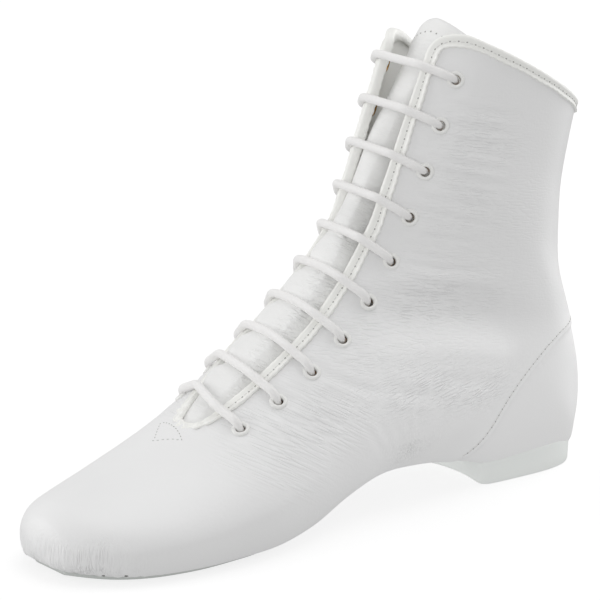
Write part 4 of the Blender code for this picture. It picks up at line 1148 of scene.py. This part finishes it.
def makeLace():
    # a round tube along the softened route, its rings carried without twist and pinched in the eyelets
    path = soften(resample(laceRoute(), lace["spacing"]), 1.4 / lace["spacing"])
    ahead = unit(np.gradient(path, axis=0))
    side = [unit(np.cross(ahead[0], (0, 0, 1.0)))]
    for direction in ahead[1:]:
        side.append(unit(side[-1] - (side[-1] @ direction) * direction))
    side = np.array(side)
    up = np.cross(ahead, side)
    turn = np.linspace(0, 2 * np.pi, lace["sides"] + 1)
    profile = lace["radius"] * np.stack([np.cos(turn), np.sin(turn)], axis=1)
    near = np.linalg.norm(path[:, None] - eyeletCentres, axis=-1).min(axis=1)
    size = (1 - lace["pinch"] / lace["radius"] * np.exp(-(near / 2.5) ** 2))[:, None, None]
    rings = path[:, None] + size * (profile[None, :, :1] * side[:, None] + profile[None, :, 1:] * up[:, None])
    run = runLength(path)
    uv = np.stack(np.broadcast_arrays(run[:, None], turn[None] / (2 * np.pi)), axis=-1).reshape(-1, 2)
    index = np.arange(rings.shape[0] * rings.shape[1]).reshape(rings.shape[:2])
    points = np.vstack([rings.reshape(-1, 3), path[:1], path[-1:]])
    uv = np.vstack([uv, (0, 0), (run[-1], 0)])
    faces = np.vstack([gridFaces(index), *endCaps(index, len(points) - 2, len(points) - 1)])
    makePiece("lace_cord", points, faces, laceCord, ["lace"], uv=uv)
    print("lace length mm", round(run[-1]))


makeLace()


# Heel, front sole and insole

def heelOutline(count):
    # from the middle of the back along the left side, across the hollow breast and back along the right side:
    # a superellipse, a slight taper and a parabola
    turn = np.linspace(0, np.pi / 2, count)
    power = 2 / heel["squareness"]
    backX = heel["waist"] - (heel["waist"] - heel["back"] - heel["tuck"]) * np.cos(turn) ** power
    backY = heel["width"] / 2 * np.sin(turn) ** power
    sideX = np.linspace(heel["waist"], heel["front"], 12)[1:-1]
    sideY = heel["width"] / 2 * (1 - (1 - heel["breastWidth"]) * np.linspace(0, 1, 12)[1:-1] ** 2)
    breastY = heel["width"] / 2 * np.linspace(heel["breastWidth"], -heel["breastWidth"], 33)
    breastX = heel["front"] - heel["breastHollow"] * (1 - (breastY / breastY[0]) ** 2)
    half = np.stack([np.append(backX, sideX), np.append(backY, sideY)], axis=1)
    return np.vstack([half, np.stack([breastX, breastY], 1), (half * (1, -1))[:0:-1]])


def makeHeel():
    # rings of the outline from the middle of the floor face up the side, over a rim that cups the seat, and
    # to the middle of the top face
    outline = heelOutline(40)
    outline = resample(np.vstack([outline, outline[:1]]), 1.0)[:-1]
    outline = soften(outline, heel["corner"], closed=True)
    centre = np.array([(heel["back"] + heel["front"]) / 2, 0])
    length = heel["front"] - heel["back"]
    top = last["heelHeight"] - last["wedge"] * (heel["front"] - outline[:, 0]) / length
    edge, floorSize, cup = heel["edge"], heel["floorSize"], heel["cup"]
    # of each ring: size of the outline, part of the height, and what is added to that
    levels = [(0.0, 0.0, 0.0), (0.5, 0.0, 0.0), (floorSize - 0.022, 0.0, 0.0),
              (floorSize - 0.008, 0.0, 0.25 * edge), (floorSize, 0.0, edge), (0.99, 0.5, 0),
              (1.0, 1.0, cup - 0.5), (0.997, 1.0, cup - 0.1), (0.985, 1.0, cup), (0.8, 1.0, 0.1),
              (0.0, 1.0, 0.1)]
    rings = np.array([np.column_stack([centre + (outline - centre) * size, top * part + lift])
                      for size, part, lift in levels])
    index = np.arange(rings.shape[0] * rings.shape[1]).reshape(rings.shape[:2])
    index = np.concatenate([index, index[:, :1]], axis=1)
    index[0], index[-1] = index[0, 0], index[-1, 0]
    makePiece("heel_block", rings.reshape(-1, 3), gridFaces(index)[:, ::-1], heelRubber, ["heel"])


makeHeel()

sole = {"ends": (1.7, 7.3), "inset": 2.5, "toeInset": 1.2, "tail": 1.6, "rise": 0.2, "columns": 40}
insole = {"ends": (1.4, 12.6), "inset": 1.0, "thickness": 2.0, "lift": 0.5, "columns": 24}


def layerSheet(stations, halfLeft, halfRight, low, high, columns):
    # a bending layer along the middle of the underside, between two distances from it, with rounded edges
    r = rowsAt(stations)
    line = r[:, [lowX, lowZ]]
    ahead = unit(np.gradient(line, axis=0))
    up = np.stack([ahead[:, 1], -ahead[:, 0]], axis=1)
    v = np.sin(np.linspace(-np.pi / 2, np.pi / 2, columns))[None]
    y = r[:, midY, None] + np.where(v > 0, halfLeft[:, None], halfRight[:, None]) * v
    soft = 0.3 * np.clip(np.abs(v) * 6 - 5, 0, 1) ** 2
    sheets = []
    for distance, sign in ((high, -1), (low, 1)):
        offset = distance + sign * soft
        sheets.append(np.stack([line[:, :1] + offset * up[:, :1], y, line[:, 1:] + offset * up[:, 1:]],
                               axis=-1))
    return closedSheet(*sheets)


def makeSoles():
    # the front sole ends under the arch in half an ellipse; the inner sole lies on the wall from toe to heel
    first, end = sole["ends"]
    stations = np.concatenate([first + (end - sole["tail"] - first) * np.linspace(0, 1, 90) ** 1.2,
                               end - sole["tail"] * np.cos(np.linspace(0, np.pi / 2, 40))[1:]])
    tail = np.clip((stations - end + sole["tail"]) / sole["tail"], 0, 0.995)
    shape = np.sqrt(1 - tail ** 2)
    r = rowsAt(stations)
    inset = sole["inset"] + sole["toeInset"] * (1 - smoothStep(stations, first, 4.0))
    points, faces = layerSheet(stations, (r[:, leftFlat] - inset) * shape, (r[:, rightFlat] - inset) * shape,
                               -tread, -last["gap"] + sole["rise"], sole["columns"])
    makePiece("front_sole_sheet", points, faces, soleRubber, ["front_sole"])
    stations = np.linspace(*insole["ends"], 90)
    r = rowsAt(stations)
    low = last["wall"] + insole["lift"]
    points, faces = layerSheet(stations, r[:, leftFlat] - insole["inset"], r[:, rightFlat] - insole["inset"],
                               low, low + insole["thickness"], insole["columns"])
    makePiece("insole_sheet", points, faces, insoleCloth, ["insole"])


makeSoles()


# Camera, floor and light

view = {"turn": 38, "rise": 14, "distance": 1000, "pixelsPerMm": 2.7, "target": (129.5, 0, 74.5),
        "at": (301, 312.5), "image": 600}

# the floor's half size in metres and its own light, and the strength of the white room
surround = {"half": 12.0, "glow": 0.69, "room": 0.57}


def makeCamera():
    # turn is measured from the side view towards the toe; the target falls on the image point given in pixels
    a, e = math.radians(view["turn"]), math.radians(view["rise"])
    back = np.array([math.sin(a) * math.cos(e), math.cos(a) * math.cos(e), math.sin(e)])
    data = bpy.data.cameras.new("camera")
    data.sensor_width = 36
    data.lens = 36 * view["pixelsPerMm"] * view["distance"] / view["image"]
    data.shift_x = (view["image"] / 2 - view["at"][0]) / view["image"]
    data.shift_y = (view["at"][1] - view["image"] / 2) / view["image"]
    data.clip_end = 50
    camera = bpy.data.objects.new("camera", data)
    target = np.array(view["target"])
    camera.location = (target + back * view["distance"]) * mm + shift
    right = unit(np.cross((0, 0, 1), back))
    above = np.cross(back, right)
    camera.rotation_mode = "QUATERNION"
    camera.rotation_quaternion = Matrix(np.stack([right, above, back], axis=1).tolist()).to_quaternion()
    bpy.context.scene.collection.objects.link(camera)
    bpy.context.scene.camera = camera


def makeStage():
    # a light table: matt grey that shines a little itself, so that white leather stays apart from it; it
    # throws no light back up and shows in no gloss
    material, _, _ = newMaterial("frosted_light_table", "#A0A0A0", 0.9, Emission_Color=(1, 1, 1, 1),
                                 Emission_Strength=surround["glow"])
    half = surround["half"]
    corners = [(-half, -half, 0), (half, -half, 0), (half, half, 0), (-half, half, 0)]
    mesh = bpy.data.meshes.new("floor")
    mesh.from_pydata(corners, [], [(0, 1, 2, 3)])
    mesh.materials.append(material)
    floor = bpy.data.objects.new("floor", mesh)
    floor.visible_diffuse = False
    floor.visible_glossy = False
    bpy.context.scene.collection.objects.link(floor)


# lights: name, then in degrees the turn from the toe towards the left side, the height and the width of the
# disc, and power
lights = [("window_behind_heel", 180, 10, 50, 0.95), ("window_far_side", 315, 10, 50, 1.15),
          ("skylight", 180, 70, 50, 0.74), ("reflector_near_side", 45, 10, 50, 0.42)]


def makeLights():
    # wide soft lights from the back, the far side and above, a weak one from the front, and an even white
    # room
    for name, turn, height, width, power in lights:
        data = bpy.data.lights.new(name, "SUN")
        data.angle = math.radians(width)
        data.energy = power
        lamp = bpy.data.objects.new(name, data)
        a, e = math.radians(turn), math.radians(height)
        towards = Vector((math.cos(a) * math.cos(e), math.sin(a) * math.cos(e), math.sin(e)))
        lamp.location = towards
        lamp.rotation_euler = towards.to_track_quat("Z", "Y").to_euler()
        bpy.context.scene.collection.objects.link(lamp)
    world = bpy.data.worlds.new("soft_room")
    world.use_nodes = True
    backdrop = world.node_tree.nodes["Background"]
    backdrop.inputs["Color"].default_value = (1, 1, 1, 1)
    backdrop.inputs["Strength"].default_value = surround["room"]
    bpy.context.scene.world = world
    bpy.context.scene.view_settings.view_transform = "Standard"


makeCamera()
makeStage()
makeLights()
print("camera, floor and lights ready")
